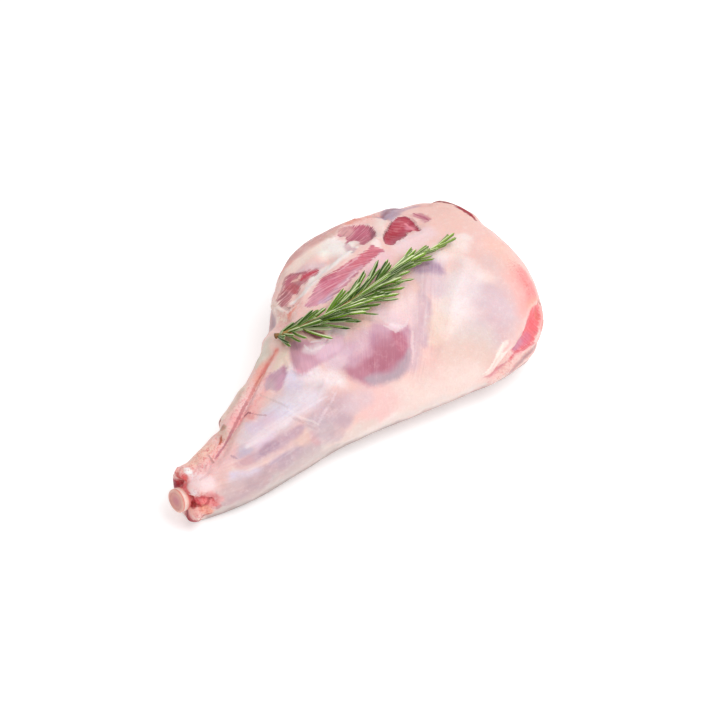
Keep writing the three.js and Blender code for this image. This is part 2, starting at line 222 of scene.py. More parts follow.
class MeshData(NamedTuple):
    """A mesh in the making: its points in millimetres and its faces."""

    points: Array
    faces: list[tuple[int, ...]]


def make_piece(name: str, data: MeshData, material: bpy.types.Material) -> Piece:
    """Makes a smooth-shaded object in metres.

    Args:
        name: The piece's name.
        data: Its points and faces.
        material: Its finish.

    Returns:
        The new object, linked to the scene.
    """
    mesh = bpy.data.meshes.new(name)
    mesh.from_pydata((data.points * MM).tolist(), [], data.faces)
    mesh.polygons.foreach_set("use_smooth", np.ones(len(mesh.polygons), dtype=bool))
    mesh.materials.append(material)
    mesh.update()
    piece = bpy.data.objects.new(name, mesh)
    bpy.context.scene.collection.objects.link(piece)
    return piece


def paint_values(piece: Piece, name: str, values: Array) -> None:
    """Stores one number, colour or vector for each point of a piece.

    Args:
        piece: The object that gets them.
        name: The attribute's name, which its material reads.
        values: One row for each point: one number, a linear RGB colour or, as "grain", a vector.
    """
    if values.ndim == 1:
        kind, entry = "FLOAT", "value"
    elif name == "grain":
        kind, entry = "FLOAT_VECTOR", "vector"
    else:
        kind, entry = "FLOAT_COLOR", "color"
        values = np.column_stack([values, np.ones(len(values))])
    layer = piece.data.attributes.new(name, kind, "POINT")
    layer.data.foreach_set(entry, values.astype(np.float32).ravel())


def loft(rings: Array, start: Array, end: Array) -> MeshData:
    """Joins a stack of rings of equal size into a closed skin.

    Args:
        rings: Points by ring and by place round it, wound to face outwards as the rings go on.
        start: The point that closes the first ring.
        end: The point that closes the last ring.

    Returns:
        The closed mesh, with the two closing points last.
    """
    count, sides = rings.shape[:2]
    first = np.arange(sides)
    second = np.roll(first, -1)
    faces: list[tuple[int, ...]] = []
    for ring in range(count - 1):
        low = ring * sides
        quads = np.column_stack([low + first, low + second, low + second + sides, low + first + sides])
        faces.extend(map(tuple, quads.tolist()))
    start_index, end_index, last = count * sides, count * sides + 1, (count - 1) * sides
    faces.extend((start_index, b, a) for a, b in zip(first.tolist(), second.tolist()))
    faces.extend((end_index, last + a, last + b) for a, b in zip(first.tolist(), second.tolist()))
    points = np.vstack([rings.reshape(-1, 3), start, end])
    return MeshData(points, faces)


def smooth(t: Array | float) -> Array | float:
    """Eases a share from 0 to 1, clamped."""
    t = np.clip(t, 0, 1)
    return t * t * (3 - 2 * t)


# ---- Noise and distances ----


@dataclass(frozen=True)
class Unevenness:
    """Seeded smooth noise in space, for lumps, crinkles and wandering edges."""

    seed: int
    cells: int = 32

    def sample(self, points: Array, cell: float) -> Array:
        """Reads the noise.

        Args:
            points: Places in millimetres.
            cell: Size of one lump in millimetres.

        Returns:
            One number from -1 to 1 for each place.
        """
        table = np.random.default_rng(self.seed).uniform(-1, 1, (self.cells,) * 3)
        scaled = points / cell
        corner = np.floor(scaled).astype(int)
        share = smooth(scaled - corner)
        total = np.zeros(len(points))
        for offset in product((0, 1), repeat=3):
            weight = np.prod(np.where(offset, share, 1 - share), axis=1)
            x, y, z = ((corner + offset) % self.cells).T
            total += weight * table[x, y, z]
        return total


def distance_to_chain(points: Array, chain: Array, reach: float, taper: float = 0.0) -> Array:
    """Measures how far points lie from a chain of straight steps.

    Args:
        points: Places in millimetres.
        chain: The chain's points in order.
        reach: Distance past which the answer isn't needed.
        taper: Share by which distances count for more at the chain's ends, so that a band thins out.

    Returns:
        The least distance for each place, or infinity past the reach.
    """
    result = np.full(len(points), np.inf)
    near = np.all((points > chain.min(0) - reach) & (points < chain.max(0) + reach), axis=1)
    close = points[near]
    least = np.full(len(close), np.inf)
    run = shares_along(chain)
    for a, b, start, end in zip(chain[:-1], chain[1:], run[:-1], run[1:]):
        step = b - a
        share = np.clip(((close - a) @ step) / max(step @ step, 1e-9), 0, 1)
        far = np.linalg.norm(close - a - share[:, None] * step, axis=1)
        least = np.minimum(least, far / (1 - taper * (1 - fullness_along(start + share * (end - start)))))
    result[near] = least
    return result


def shares_along(chain: Array) -> Array:
    """Returns each chain point's share of the way along it."""
    run = np.concatenate([[0], np.cumsum(np.linalg.norm(np.diff(chain, axis=0), axis=1))])
    return run / max(run[-1], 1e-9)


def curve_through(marks: Array, knots: Array, wanted: Array) -> Array:
    """Reads a smooth curve.

    Args:
        marks: Where along it each knot lies.
        knots: The points that it passes through.
        wanted: Places along it.

    Returns:
        The curve's point at each place.
    """
    slopes = np.gradient(knots, marks, axis=0)
    i = np.clip(np.searchsorted(marks, wanted, side="right") - 1, 0, len(knots) - 2)
    span = (marks[i + 1] - marks[i])[:, None]
    t = (wanted - marks[i])[:, None] / span
    return (
        (2 * t**3 - 3 * t**2 + 1) * knots[i] + (t**3 - 2 * t**2 + t) * span * slopes[i]
        + (3 * t**2 - 2 * t**3) * knots[i + 1] + (t**3 - t**2) * span * slopes[i + 1])


def fullness_along(share: Array) -> Array:
    """Returns how full a brush stroke is along its length: 1 in the middle and 0 at its ends."""
    return np.sqrt(np.sin(np.pi * np.clip(share, 0, 1)))


def frame_along(forward: Array) -> tuple[Array, Array]:
    """Returns the level direction across a heading, and the upright one over it."""
    across = np.cross((0, 0, 1), forward)
    across /= np.linalg.norm(across)
    return across, np.cross(forward, across)


def directions_round(forward: Array, angles: Array) -> Array:
    """Returns the directions that point out from a heading, one for each angle."""
    across, upright = frame_along(forward)
    return np.outer(np.cos(angles), across) + np.outer(np.sin(angles), upright)


def inside_outline(places: Array, outline: Array) -> Array:
    """Tells which (at, turn) places lie inside a closed outline, by counting crossings."""
    inside = np.zeros(len(places), dtype=bool)
    x, y = places.T
    for (x0, y0), (x1, y1) in zip(outline, np.roll(outline, -1, axis=0)):
        if y0 != y1:
            crosses = ((y0 > y) != (y1 > y)) & (x < (x1 - x0) * (y - y0) / (y1 - y0) + x0)
            inside ^= crosses
    return inside


# ---- The leg's plain form ----


class Station(NamedTuple):
    """The leg's section at one place along it."""

    at: float
    near: float
    far: float
    top: float
    near_waist: float
    far_waist: float


STATIONS = (
    Station(-168, -65, -37, 41, 21, 21),
    Station(-150, -71, -33, 45, 21, 22),
    Station(-118, -77, -21, 52, 22, 24),
    Station(-78, -77, 2, 62, 24, 28),
    Station(-43, -76, 29, 73, 26, 34),
    Station(-24, -78, 50, 79, 27, 37),
    Station(-6, -80, 71, 83, 28, 40),
    Station(27, -85, 91, 88, 30, 43),
    Station(72, -90, 94, 90, 30, 44),
    Station(117, -91, 87, 89, 30, 43),
    Station(152, -79, 69, 86, 29, 42),
    Station(174, -63, 26, 76, 28, 40),
)


@dataclass(frozen=True)
class LegForm:
    """The leg before its swells and furrows: rounded sections lofted along it, cut flat below."""

    stations: tuple[Station, ...] = STATIONS
    shank_cap: float = 6  # length over which the shank's end rounds off
    rump_cap: float = 34
    rump_rounding: float = 2.2
    rump_slant: float = 3  # how far the near side of the rump reaches past the far side
    slant_from: float = 102
    base_sink: float = 7  # how far the round section reaches below the floor before it is cut flat
    side_power: float = 0.92
    top_power: float = 0.95
    base_power: float = 0.8
    probe_inset: float = 0.2  # least distance from the ends at which the skin's direction is read
    probe_along: float = 0.15
    probe_round: float = 0.5
    path_step: float = 3.5  # longest straight step of a path on the skin, in millimetres or degrees

    @property
    def first(self) -> float:
        """The shank's end."""
        return self.stations[0].at

    @property
    def last(self) -> float:
        """The rump's end."""
        return self.stations[-1].at

    def column(self, name: str, at: Array) -> Array:
        """Reads one measure of the sections anywhere along the leg, on a smooth curve.

        Args:
            name: Field of Station.
            at: Places along the leg.

        Returns:
            The measure at each place.
        """
        marks = np.array([station.at for station in self.stations], dtype=float)
        knots = np.array([[getattr(station, name)] for station in self.stations], dtype=float)
        return curve_through(marks, knots, at.ravel()).reshape(at.shape)

    def skin(self, at: Array, turn: Array) -> Array:
        """Finds points of the plain form.

        Args:
            at: Places along the leg.
            turn: Degrees round it.

        Returns:
            One point for each pair.
        """
        angle = np.radians(turn)
        rump = np.clip((at - (self.last - self.rump_cap)) / self.rump_cap, 0, 1)
        shank = np.clip((self.first + self.shank_cap - at) / self.shank_cap, 0, 1)
        fullness = np.sqrt(1 - rump**self.rump_rounding) * np.sqrt(1 - shank**2)
        across, rise = np.cos(angle), np.sin(angle)
        near, far, top = (self.column(name, at) for name in ("near", "far", "top"))
        near_waist, far_waist = self.column("near_waist", at), self.column("far_waist", at)
        waist = near_waist + (far_waist - near_waist) * smooth((1 + across * fullness) / 2)
        side = fullness * np.sign(across) * np.abs(across) ** self.side_power
        above = waist + fullness * (top - waist) * np.abs(rise) ** self.top_power
        below = waist - fullness * (waist + self.base_sink) * np.abs(rise) ** self.base_power
        slant = self.rump_slant * smooth((at - self.slant_from) / (self.last - self.slant_from)) * side
        z = np.maximum(np.where(rise >= 0, above, below), 0)
        return np.stack([at - slant, (near + far) / 2 + (far - near) / 2 * side, z], axis=-1)

    def normal(self, at: Array, turn: Array) -> Array:
        """Returns the outward direction of the plain form at each place."""
        place = np.clip(at, self.first + self.probe_inset, self.last - self.probe_inset)
        along = self.skin(place + self.probe_along, turn) - self.skin(place - self.probe_along, turn)
        round_it = self.skin(place, turn + self.probe_round) - self.skin(place, turn - self.probe_round)
        out = np.cross(round_it, along)
        return out / np.maximum(np.linalg.norm(out, axis=-1, keepdims=True), 1e-9)

    def chain(self, path: Path, closed: bool = False, curved: bool = False) -> Array:
        """Lays a path on the plain form.

        Args:
            path: Its (at, turn) points.
            closed: Whether it returns to its first point.
            curved: Whether it bends smoothly through its points.

        Returns:
            The chain's points.
        """
        marks = np.array([*path, path[0]] if closed else path, dtype=float)
        spans = np.abs(np.diff(marks, axis=0)).max(axis=1)
        run = np.concatenate([[0], np.cumsum(spans)])
        fine = np.union1d(run, np.linspace(0, run[-1], math.ceil(run[-1] / self.path_step) + 1))
        if curved:
            return self.skin(*curve_through(run, marks, fine).T)
        return self.skin(*(np.interp(fine, run, marks[:, k]) for k in (0, 1)))


# ---- What is modelled and painted on the skin ----


class Swell(NamedTuple):
    """A swell (lift above 0) or furrow (below 0) along a path, gone at its reach."""

    reach: float
    lift: float
    path: Path


class Wash(NamedTuple):
    """A soft patch of colour along a path: full to its core's edge, then fading out."""

    tint: str
    core: float
    fade: float
    path: Path
    strength: float = 0.85


class Window(NamedTuple):
    """A place where muscle shows through the fat."""

    tint: str
    opacity: float  # how clearly the muscle shows
    softness: float  # half the width of its edge
    feather: float  # how far its fibres reach out past it
    fibre: float  # how strongly they show
    sunk: float  # how far it lies below the fat round it
    grain: float  # its fibres' direction in degrees, from along the leg towards the near side
    outline: Path


class Thread(NamedTuple):
    """A crisp thin line: a cord, a vessel or the dark edge of an opening."""

    tint: str
    strength: float
    width: float  # half its width, in millimetres
    path: Path


class Band(NamedTuple):
    """A band along a path that shows fully to its core's edge, then fades out."""

    strength: float
    core: float
    fade: float
    path: Path
    grain: float = 0  # direction of the fibres in it, as for a window


MAIN_SWELLS = (
    Swell(15, 3.5, ((-26, 42), (-8, 36), (15, 35), (44, 42), (82, 40))),  # far fat ridge
    Swell(12, 3.5, ((-30, 70), (-13, 74), (16, 77), (41, 75), (66, 72))),  # white fat ridge
    Swell(13, -4, ((-21, 54), (-8, 59), (7, 64), (26, 64))),  # hollow between the ridges
    Swell(14, -3, ((54, 55), (69, 61))),  # upper hollow
    Swell(15, -4, ((91, 68), (103, 68))),  # square hollow
    Swell(11, 2, ((-10, 84), (2, 86), (32, 84), (57, 80))),  # long muscle
    Swell(9, 1.5, ((-18, 24), (-21, 40), (-22, 60))),  # knee ridge
    Swell(12, -5, ((-31, 14), (-33, 40), (-31, 60))),  # knee hollow
    Swell(10, 2.5, ((-46, 30), (-47, 50), (-43, 66))),  # knee fat roll
    Swell(34, 4.5, ((-2, 126), (20, 132))),  # plum muscle
    Swell(13, -3, ((42, 116), (50, 128), (44, 142), (26, 154))),  # hollow past it
    Swell(16, 2, ((-42, 94), (-24, 102))),  # mauve muscle
    Swell(9, -2, ((-50, 84), (-52, 100), (-42, 114), (-26, 122))),  # seam by it
    Swell(13, -3, ((102, 99), (80, 111), (62, 124), (50, 138))),  # fat valley
    Swell(46, 4, ((102, 128), (116, 124))),  # rump dome
    Swell(7, 1.8, ((140, 146), (130, 150), (116, 155), (102, 161), (86, 172))),  # upper lip of the cut
    Swell(9, -2.4, ((150, 155), (138, 159), (123, 164), (110, 169), (98, 176))),  # cut strip
    Swell(8, 2, ((134, 178), (122, 180), (105, 182), (90, 184))),  # lower lip of the cut
    Swell(22, -3, ((146, 190), (160, 188), (168, 180))),  # tuck below the cut
    Swell(18, 3, ((-112, 98), (-88, 108), (-62, 116))),  # upper calf
    Swell(12, 2, ((-132, 133), (-105, 142), (-78, 148), (-50, 152))),  # middle calf
    Swell(15, 2, ((-138, 170), (-87, 172), (-40, 172))),  # lower calf
    Swell(8, -2.5, ((-148, 118), (-131, 122), (-105, 130), (-73, 138), (-46, 140))),  # upper seam
    Swell(7, -2, ((-140, 150), (-118, 155), (-83, 160), (-50, 162))),  # lower seam
    Swell(9, 1.5, ((-60, 36), (-90, 42), (-120, 54), (-142, 64))),  # heel cord
    Swell(7, -3, ((-54, 54), (-80, 58), (-100, 68), (-118, 84), (-138, 98))),  # furrow by it
    Swell(13, 3.2, ((-88, 26), (-98, 27), (-108, 30))),  # fat flap
    Swell(8, -3.5, ((-118, 18), (-119, 42))),  # notch under the flap
    Swell(11, 2, ((-159, 66), (-158, 74))),  # ankle knob
    Swell(8, -5, ((-167, 70), (-165, 100))),  # hollow behind the bone
    Swell(9, 3.5, ((-152, 126), (-158, 136))),  # white boss
    Swell(6, -3, ((-164, 140), (-160, 158), (-150, 166))),  # blood furrow
    Swell(8, 5, ((-162, 182), (-164, 204))),  # lower boss
    Swell(12, 3, ((143, 50), (148, 56), (152, 70))),  # rim of the far cut
    Swell(16, -1.5, ((120, 34), (128, 38), (135, 43))),  # dip before it
    Swell(9, -4.2, ((84, 38), (89, 40), (93, 42))),  # dip at the far notch
    Swell(9, 1, ((101, 40), (107, 36), (113, 33))),  # grey rim past the notch
    Swell(13, -3, ((10, 6), (50, 3), (95, 4), (132, 8))),  # far wall furrow
)

FINE_SWELLS = (
    Swell(2.2, -0.9, ((-139, 92), (-128, 86), (-115, 79), (-104, 70), (-99, 67))),  # tendon's groove
    Swell(2.6, -0.8, ((-99, 67), (-88, 61), (-78, 59), (-66, 60), (-54, 61))),
    Swell(1.8, -0.5, ((-99, 74), (-97, 80), (-94, 86), (-90, 92))),  # vein
    Swell(1.8, 0.6, ((-74, 117), (-70, 125), (-66, 133), (-60, 141))),  # fork of thin cords
    Swell(1.8, 0.5, ((-60, 141), (-48, 137), (-38, 132), (-29, 128))),
    Swell(2.2, 0.6, ((-58, 142), (-52, 132), (-44, 124), (-36, 120))),
    Swell(2, 0.7, ((-76, 96), (-73, 106), (-69, 113), (-62, 118))),  # membrane's edge
    Swell(2.4, 0.9, ((-50, 78), (-52, 88), (-50, 99), (-44, 106))),  # rim of the mauve muscle
    Swell(1.6, 0.8, ((-24, 99), (-18, 97), (-12, 96), (-6, 93), (0, 90))),  # crinkled membrane
    Swell(1.5, -0.6, ((-22, 102), (-15, 100), (-8, 99), (-2, 96))),
    Swell(1.6, 0.7, ((-30, 97), (-25, 101), (-20, 104))),
    Swell(2.4, 1.2, ((-24, 28), (-25, 44), (-26, 58), (-24, 66))),  # edge of the knee's membrane
    Swell(2, -0.8, ((-28, 34), (-29, 50), (-28, 62))),
    Swell(2.2, 0.9, ((-40, 34), (-41, 48), (-39, 60))),  # second fold
    Swell(2, 1, ((66, 73), (70, 66), (74, 60), (78, 52))),  # fat between the red windows
    Swell(2.4, 1, ((71, 78), (78, 80), (90, 79), (104, 78))),
    Swell(1.7, 0.8, ((90, 56), (98, 52), (106, 52), (111, 58), (110, 66))),
    Swell(2.2, 0.8, ((-14, 72), (10, 72), (36, 72), (58, 70))),  # lip over the long muscle
    Swell(1.8, 0.9, ((-26, 60), (-18, 64), (-8, 66), (6, 70))),
    Swell(2.4, -1.6, ((92, 54), (94.5, 47), (96, 40))),  # notch in the far ridge
    Swell(2, 2.6, ((92.5, 44), (93, 38))),  # its small spike
    Swell(1.6, -0.8, ((138, 167), (124, 171), (112, 172), (98, 178))),  # under the red strip
    Swell(1.6, 0.6, ((131, 155), (115, 160), (100, 168), (90, 176))),  # double lip above it
    Swell(1.4, -0.5, ((128, 157), (112, 163), (98, 171))),
    Swell(2.6, 1.6, ((-158, 72), (-157, 88))),  # white gristle
    Swell(2.4, 1.2, ((-164, 66), (-161, 62))),  # knob
    Swell(2, -1.6, ((-161, 94), (-163, 104))),
    Swell(2.6, -2.2, ((-167, 52), (-166.5, 64), (-166, 76))),  # pocket above the bone
    Swell(2.2, -2, ((-166.5, 142), (-164, 154), (-163, 166), (-160, 176))),  # crevice below it
    Swell(1.8, 1.2, ((-161, 146), (-158, 152))),
    Swell(2, 1.3, ((-157, 168), (-153, 176))),
    Swell(1.6, -1.2, ((-158, 158), (-155, 164), (-151, 170))),
    Swell(2.4, 1.4, ((-164, 184), (-161, 192))),
    Swell(2, -1, ((-159, 182), (-157, 196))),
    Swell(1.4, -0.5, ((-146, 150), (-147, 165))),
    Swell(1.5, -0.6, ((-142, 104), (-144, 112), (-150, 118))),
    Swell(1.8, 0.7, ((-122, 74), (-128, 80), (-134, 84))),
    Swell(1.8, -0.8, ((-126, 70), (-124, 76))),
)

FAT_TINT = "#f4cac3"

SKIN_WASHES = (
    # the rump and the broad near side
    # a pale wash over the rump's dome: partly the fat's pale colour, partly painted light on its top
    Wash("#fdeff0", 5, 21.5, ((92, 114), (87, 122), (79, 129)), 0.8),
    Wash("#d6bcc4", 4, 23, ((106, 122), (110, 131), (108, 139), (98, 144))),
    Wash("#e4c9d0", 2, 14, ((112, 133), (117, 139)), 0.6),
    Wash("#e4c4c2", 2, 15.5, ((129, 110), (135, 112)), 0.75),
    Wash("#fbdcd3", 1, 9.5, ((115, 114), (117, 116)), 0.8),
    Wash("#e0cdd2", 2, 14, ((83, 140), (91, 145)), 0.6),
    Wash("#e6d2ca", 4, 18.5, ((69, 146), (78, 147), (85, 151)), 0.8),
    Wash("#eccabf", 2.5, 17, ((59, 150), (71, 155), (82, 161)), 0.7),
    Wash("#f6e0d8", 6, 25, ((7, 165), (22, 173), (44, 174), (70, 174)), 0.8),
    Wash("#f6c8c6", 3, 18.5, ((-9, 156), (-2, 164), (-6, 171)), 0.75),
    Wash("#f6cabf", 4, 25, ((133, 52), (136, 62), (135, 76)), 0.8),
    Wash("#f5b3a5", 1, 11, ((107, 92), (112, 92)), 0.5),
    Wash("#f0b0a6", 1.5, 9, ((118, 38), (126, 42), (135, 48)), 0.8),
    Wash("#eab8b0", 4, 10, ((160, 76), (163, 92), (162, 108)), 0.7),
    Wash("#fbc8ba", 2.5, 15.5, ((144, 100), (144, 114), (142, 123)), 0.7),
    Wash("#f4b0ac", 2, 16, ((141, 126), (139, 137), (136, 143)), 0.8),
    Wash("#f69896", 2, 11, ((148, 126), (147, 137), (144, 145))),
    Wash("#f9b7a0", 1, 8, ((141, 147), (150, 151)), 0.8),
    Wash("#f6bdb4", 5, 21.5, ((166, 60), (168, 110), (166, 170)), 0.7),
    Wash("#f29a94", 1, 5, ((152, 150), (152, 158), (148, 164), (144, 168)), 0.9),
    Wash("#d69890", 2, 5, ((158, 150), (158, 160), (154, 168), (147, 174)), 0.75),
    Wash("#f7cfc6", 1.5, 5, ((139, 170), (132, 174)), 0.9),
    Wash("#f0cdc4", 1.5, 9.5, ((128, 178), (106, 179), (94, 182)), 0.7),
    Wash("#f0929a", 0.7, 2, ((131, 172), (123, 171), (113, 171), (109, 173)), 0.9),
    Wash("#e39aa0", 1, 2.5, ((103, 176), (98, 176), (93, 177), (87, 178)), 0.9),
    Wash("#fbe8df", 1, 3, ((113, 162), (105, 163), (98, 167), (92, 171), (85, 174)), 0.95),
    Wash("#fbe8df", 1, 3, ((108, 156), (102, 159), (96, 163)), 0.9),
    Wash("#f9c4bf", 0.6, 2, ((110, 159), (102, 162)), 0.9),
    # painted shade: a dark line where the rump's near edge curves under to the table
    Wash("#b89294", 0.8, 2.2, (
        (136, 175), (128, 176.5), (123, 177), (117, 178.5), (112, 180), (108, 182), (103, 186), (96, 192))),
    # between the sprig, the plum muscle and the valley
    # greyer washes along the fat valley: partly its greyish-lilac colour, partly painted shade in the valley
    Wash("#e0c0c6", 1, 5, ((74, 100), (68, 108), (62, 114)), 0.8),
    Wash("#c9a8ae", 0.8, 4, ((66, 112), (63, 119), (59, 125)), 0.6),
    Wash("#d8b4b9", 1, 5, ((56, 117), (50, 127), (44, 138)), 0.8),
    Wash("#dfbcbf", 1, 5, ((50, 116), (47, 124), (40, 134)), 0.8),
    Wash("#d9b9c2", 2.5, 11, ((61, 112), (53, 123), (46, 135))),
    Wash("#d9b9c2", 2, 9.5, ((40, 129), (34, 137), (30, 144)), 0.8),
    Wash("#cdb2c0", 1, 4, ((65, 115), (62, 120), (56, 128), (47, 137)), 0.45),
    Wash("#fde0e2", 3, 12.5, ((51, 103), (49, 109), (43, 116)), 0.8),
    Wash("#fbcdc8", 1, 8, ((48, 103), (52, 103)), 0.7),
    Wash("#f3d3dc", 2.5, 12.5, ((29, 111), (31, 116), (34, 120)), 0.8),
    Wash("#fbe3ea", 1.5, 3, ((29, 120), (34, 123)), 0.9),
    Wash("#fbdccb", 1, 9.5, ((67, 122), (62, 129), (54, 137)), 0.9),
    Wash("#fbe2d8", 1.5, 9.5, ((78, 118), (69, 128), (62, 136)), 0.8),
    Wash("#8e5a78", 2, 7, ((77, 94), (84, 96))),
    Wash("#c3a4b8", 1, 8, ((86, 97), (92, 97)), 0.8),
    Wash("#e3ccd8", 1, 9.5, ((94, 96), (99, 95)), 0.8),
    Wash("#dfc6cf", 2.5, 12.5, ((76, 100), (81, 104), (78, 109)), 0.8),
    Wash("#eacbd8", 2, 9.5, ((-25, 113), (-20, 118), (-14, 118))),
    Wash("#deb6c8", 2.5, 11, ((-9, 119), (-1, 119), (6, 118)), 0.8),
    Wash("#f0dfe8", 1, 8, ((-10, 100), (-5, 105)), 0.9),
    Wash("#fbecec", 4, 14, ((111, 102), (106, 112), (94, 118), (78, 124)), 0.6),
    Wash("#fdeef0", 3, 9, ((-46, 107), (-38, 118), (-29, 127))),
    Wash("#fdeeea", 4, 10, ((98, 91), (110, 93), (125, 90)), 0.7),
    Wash("#ab8ba8", 2, 7, ((78, 97), (90, 100)), 0.75),
    # the knee and the far hollow
    # painted shade: purple-grey in the knee's hollow and its shaded corner
    Wash("#c4a6ac", 1, 9, ((-29, 0), (-27, 14), (-29, 35)), 0.8),
    Wash("#b79ea6", 1, 8, ((-28, 17), (-33, 10), (-38, 20)), 0.8),
    Wash("#d8cdbf", 2, 9.5, ((-46, 49), (-54, 36), (-63, 43))),
    Wash("#e6cfc4", 1, 8, ((-25, 23), (-25, 47), (-25, 54))),
    Wash("#fbdcd0", 1, 8, ((-49, 54), (-39, 66), (-36, 73))),
    Wash("#fbdcd0", 1, 8, ((-47, 77), (-51, 82), (-54, 90))),
    Wash("#e9d3c2", 1, 8, ((-50, 74), (-57, 77))),
    Wash("#f2ddd0", 1, 3, ((-32, 30), (-30, 49), (-26, 62)), 0.9),
    Wash("#f4a492", 1, 3, ((-27, 57), (-23, 64), (-18, 68)), 0.95),
    # painted shadow of the rosemary stem's cut end
    Wash("#b98f78", 0.9, 4.5, ((-43, 70), (-38, 73), (-35, 81)), 0.7),
    Wash("#e6c9be", 2, 9.5, ((-2, 37), (5, 41), (15, 43))),
    Wash("#e0a89e", 1, 8, ((-9, 31), (3, 30), (12, 31), (21, 34))),
    # painted shade: a thin dark line along the far edge, which faces away from the light
    Wash("#8f6a68", 0.6, 2.5, ((-10, 26), (3, 24), (13, 27), (23, 30), (28, 35)), 0.7),
    Wash("#f7dfd4", 3, 11, ((8, 43), (18, 46), (30, 51))),
    Wash("#dcbfc4", 2, 7, ((2, 53), (12, 58), (22, 62))),
    Wash("#fff6ee", 2.5, 11, ((33, 56), (42, 58), (48, 62)), 0.95),
    Wash("#fdf3ee", 2.5, 11, ((42, 51), (43, 61), (39, 71)), 0.9),
    Wash("#fff4f0", 3, 6, ((-17, 57), (-8, 68), (0, 70), (12, 67), (26, 71), (38, 72), (49, 71)), 0.95),
    Wash("#cdb0ac", 0.8, 2, ((-23, 51), (-21, 62))),
    Wash("#e0a49c", 1, 5, ((26, 41), (36, 44), (50, 42), (61, 41)), 0.8),
    Wash("#cfa69c", 0.8, 2.5, ((36, 46), (45, 48), (57, 45)), 0.8),
    Wash("#ef9c8a", 1.4, 6, ((64, 42), (75, 41), (88, 37))),
    Wash("#cfa0ab", 1, 3, ((48, 62), (45, 69), (48, 73)), 0.7),
    Wash("#b9a0a8", 0.4, 1, ((43, 74), (46, 73)), 0.9),
    Wash("#fdeae6", 1.5, 3, ((66, 73), (61, 78)), 0.9),
    Wash("#fbe0d8", 1.5, 5, ((93, 44), (87, 55), (80, 61), (70, 71)), 0.9),
    Wash("#f6d8dc", 2.5, 12.5, ((78, 82), (91, 80), (105, 78))),
    Wash("#f3c9d3", 2, 9.5, ((62, 83), (52, 86), (43, 88))),
    Wash("#a88ca4", 4, 8, ((98, 48), (103, 45), (108, 41), (113, 38)), 0.9),
    Wash("#cba0ac", 2.5, 6, ((111, 45), (118, 42), (125, 43)), 0.8),
    Wash("#9c7484", 0.8, 2.5, ((98, 47), (102, 43), (108, 38), (116, 34)), 0.8),
    Wash("#b9a2b6", 1.5, 4, ((96, 50), (96, 56)), 0.8),
    Wash("#c9b3c4", 0.8, 2, ((96, 43), (93, 50)), 0.8),
    # the shank
    Wash("#e0ccd2", 6, 16, ((-112, 108), (-90, 112), (-62, 112), (-44, 124))),
    Wash("#e6dbe6", 3, 12, ((-80, 108), (-66, 114), (-54, 124)), 0.8),
    Wash("#f3e6ee", 3, 10, ((-66, 84), (-56, 92), (-40, 104)), 0.7),
    Wash("#dfd2e6", 1, 8, ((-57, 90), (-57, 96), (-61, 101), (-54, 104)), 0.8),
    Wash("#e2d8e8", 1, 8, ((-79, 112), (-73, 114)), 0.8),
    Wash("#dec8dc", 1.5, 9, ((-99, 101), (-95, 106), (-88, 109)), 0.7),
    Wash("#e9cfe2", 1, 7, ((-102, 121), (-94, 122)), 0.7),
    Wash("#c9bcd0", 1, 6, ((-132, 112), (-120, 115), (-110, 120)), 0.8),
    Wash("#d2bcbe", 6, 16, ((-116, 160), (-90, 166), (-62, 170), (-44, 168)), 0.8),
    Wash("#d0b2bc", 4, 12, ((-48, 146), (-41, 146), (-34, 148))),
    Wash("#c8acb6", 2, 9, ((-52, 155), (-46, 158), (-35, 161)), 0.8),
    Wash("#e4c8ce", 2, 10, ((-26, 150), (-17, 151)), 0.75),
    Wash("#cbaab4", 2, 10, ((-111, 154), (-93, 159), (-76, 163), (-62, 167))),
    # greyer washes low on the shank: partly its dusky colour, partly painted shade where it turns down
    Wash("#d0c2bf", 2, 10, ((-80, 168), (-62, 175)), 0.6),
    Wash("#c9bab8", 2, 11, ((-120, 168), (-101, 176), (-83, 179)), 0.6),
    Wash("#bca8c4", 1, 6, ((-99, 148), (-89, 150)), 0.75),
    Wash("#e6d9ea", 2, 9, ((-129, 141), (-123, 143), (-116, 147))),
    Wash("#d2b8ba", 3, 12, ((-144, 172), (-133, 168), (-120, 168)), 0.8),
    Wash("#e8d6ce", 3, 12, ((-52, 177), (-37, 180), (-16, 178)), 0.8),
    Wash("#f2d0c8", 1.5, 6, (
        (-136, 118), (-125, 128), (-116, 134), (-108, 139), (-96, 142), (-83, 146), (-68, 149)), 0.9),
    Wash("#e8c4ba", 2.5, 8, ((-78, 147), (-70, 149), (-62, 155), (-53, 161), (-40, 170))),
    Wash("#c8a6b4", 1.4, 5.5, (
        (-121, 128), (-112, 131), (-104, 132), (-98, 133.5), (-90, 137), (-81, 138), (-68, 139.5)), 0.9),
    Wash("#b998aa", 0.9, 4, ((-106, 131), (-98, 133.5), (-90, 136.5))),
    Wash("#e0b0b4", 1, 5, ((-124, 126), (-115, 130)), 0.7),
    Wash("#f0dfe4", 1, 4.5, ((-112, 112), (-98, 114), (-91, 115), (-84, 118), (-78, 121), (-71, 123)), 0.8),
    Wash("#e0a9ae", 0.8, 5, ((-62, 154), (-61, 163)), 0.7),
    Wash("#f0d2ca", 2, 9, ((-66, 78), (-74, 80), (-82, 84)), 0.7),
    Wash("#cbb8c2", 3, 9, ((-60, 141), (-54, 160), (-44, 170)), 0.7),
    Wash("#c3a8b4", 2, 7, ((-92, 161), (-80, 158)), 0.7),
    Wash("#c6a8ae", 4, 10, ((-107, 168), (-119, 176), (-130, 186), (-140, 184)), 0.75),
    Wash("#fdf0ea", 4, 9, ((5, 183), (-6, 190), (-18, 190)), 0.7),
    # the low edge of the near side, with grey bands and a dark line of painted shade where it curves under
    # to the table
    Wash("#d2c4c0", 4, 10, ((-160, 208), (-140, 202), (-110, 194), (-70, 190), (-40, 188)), 0.9),
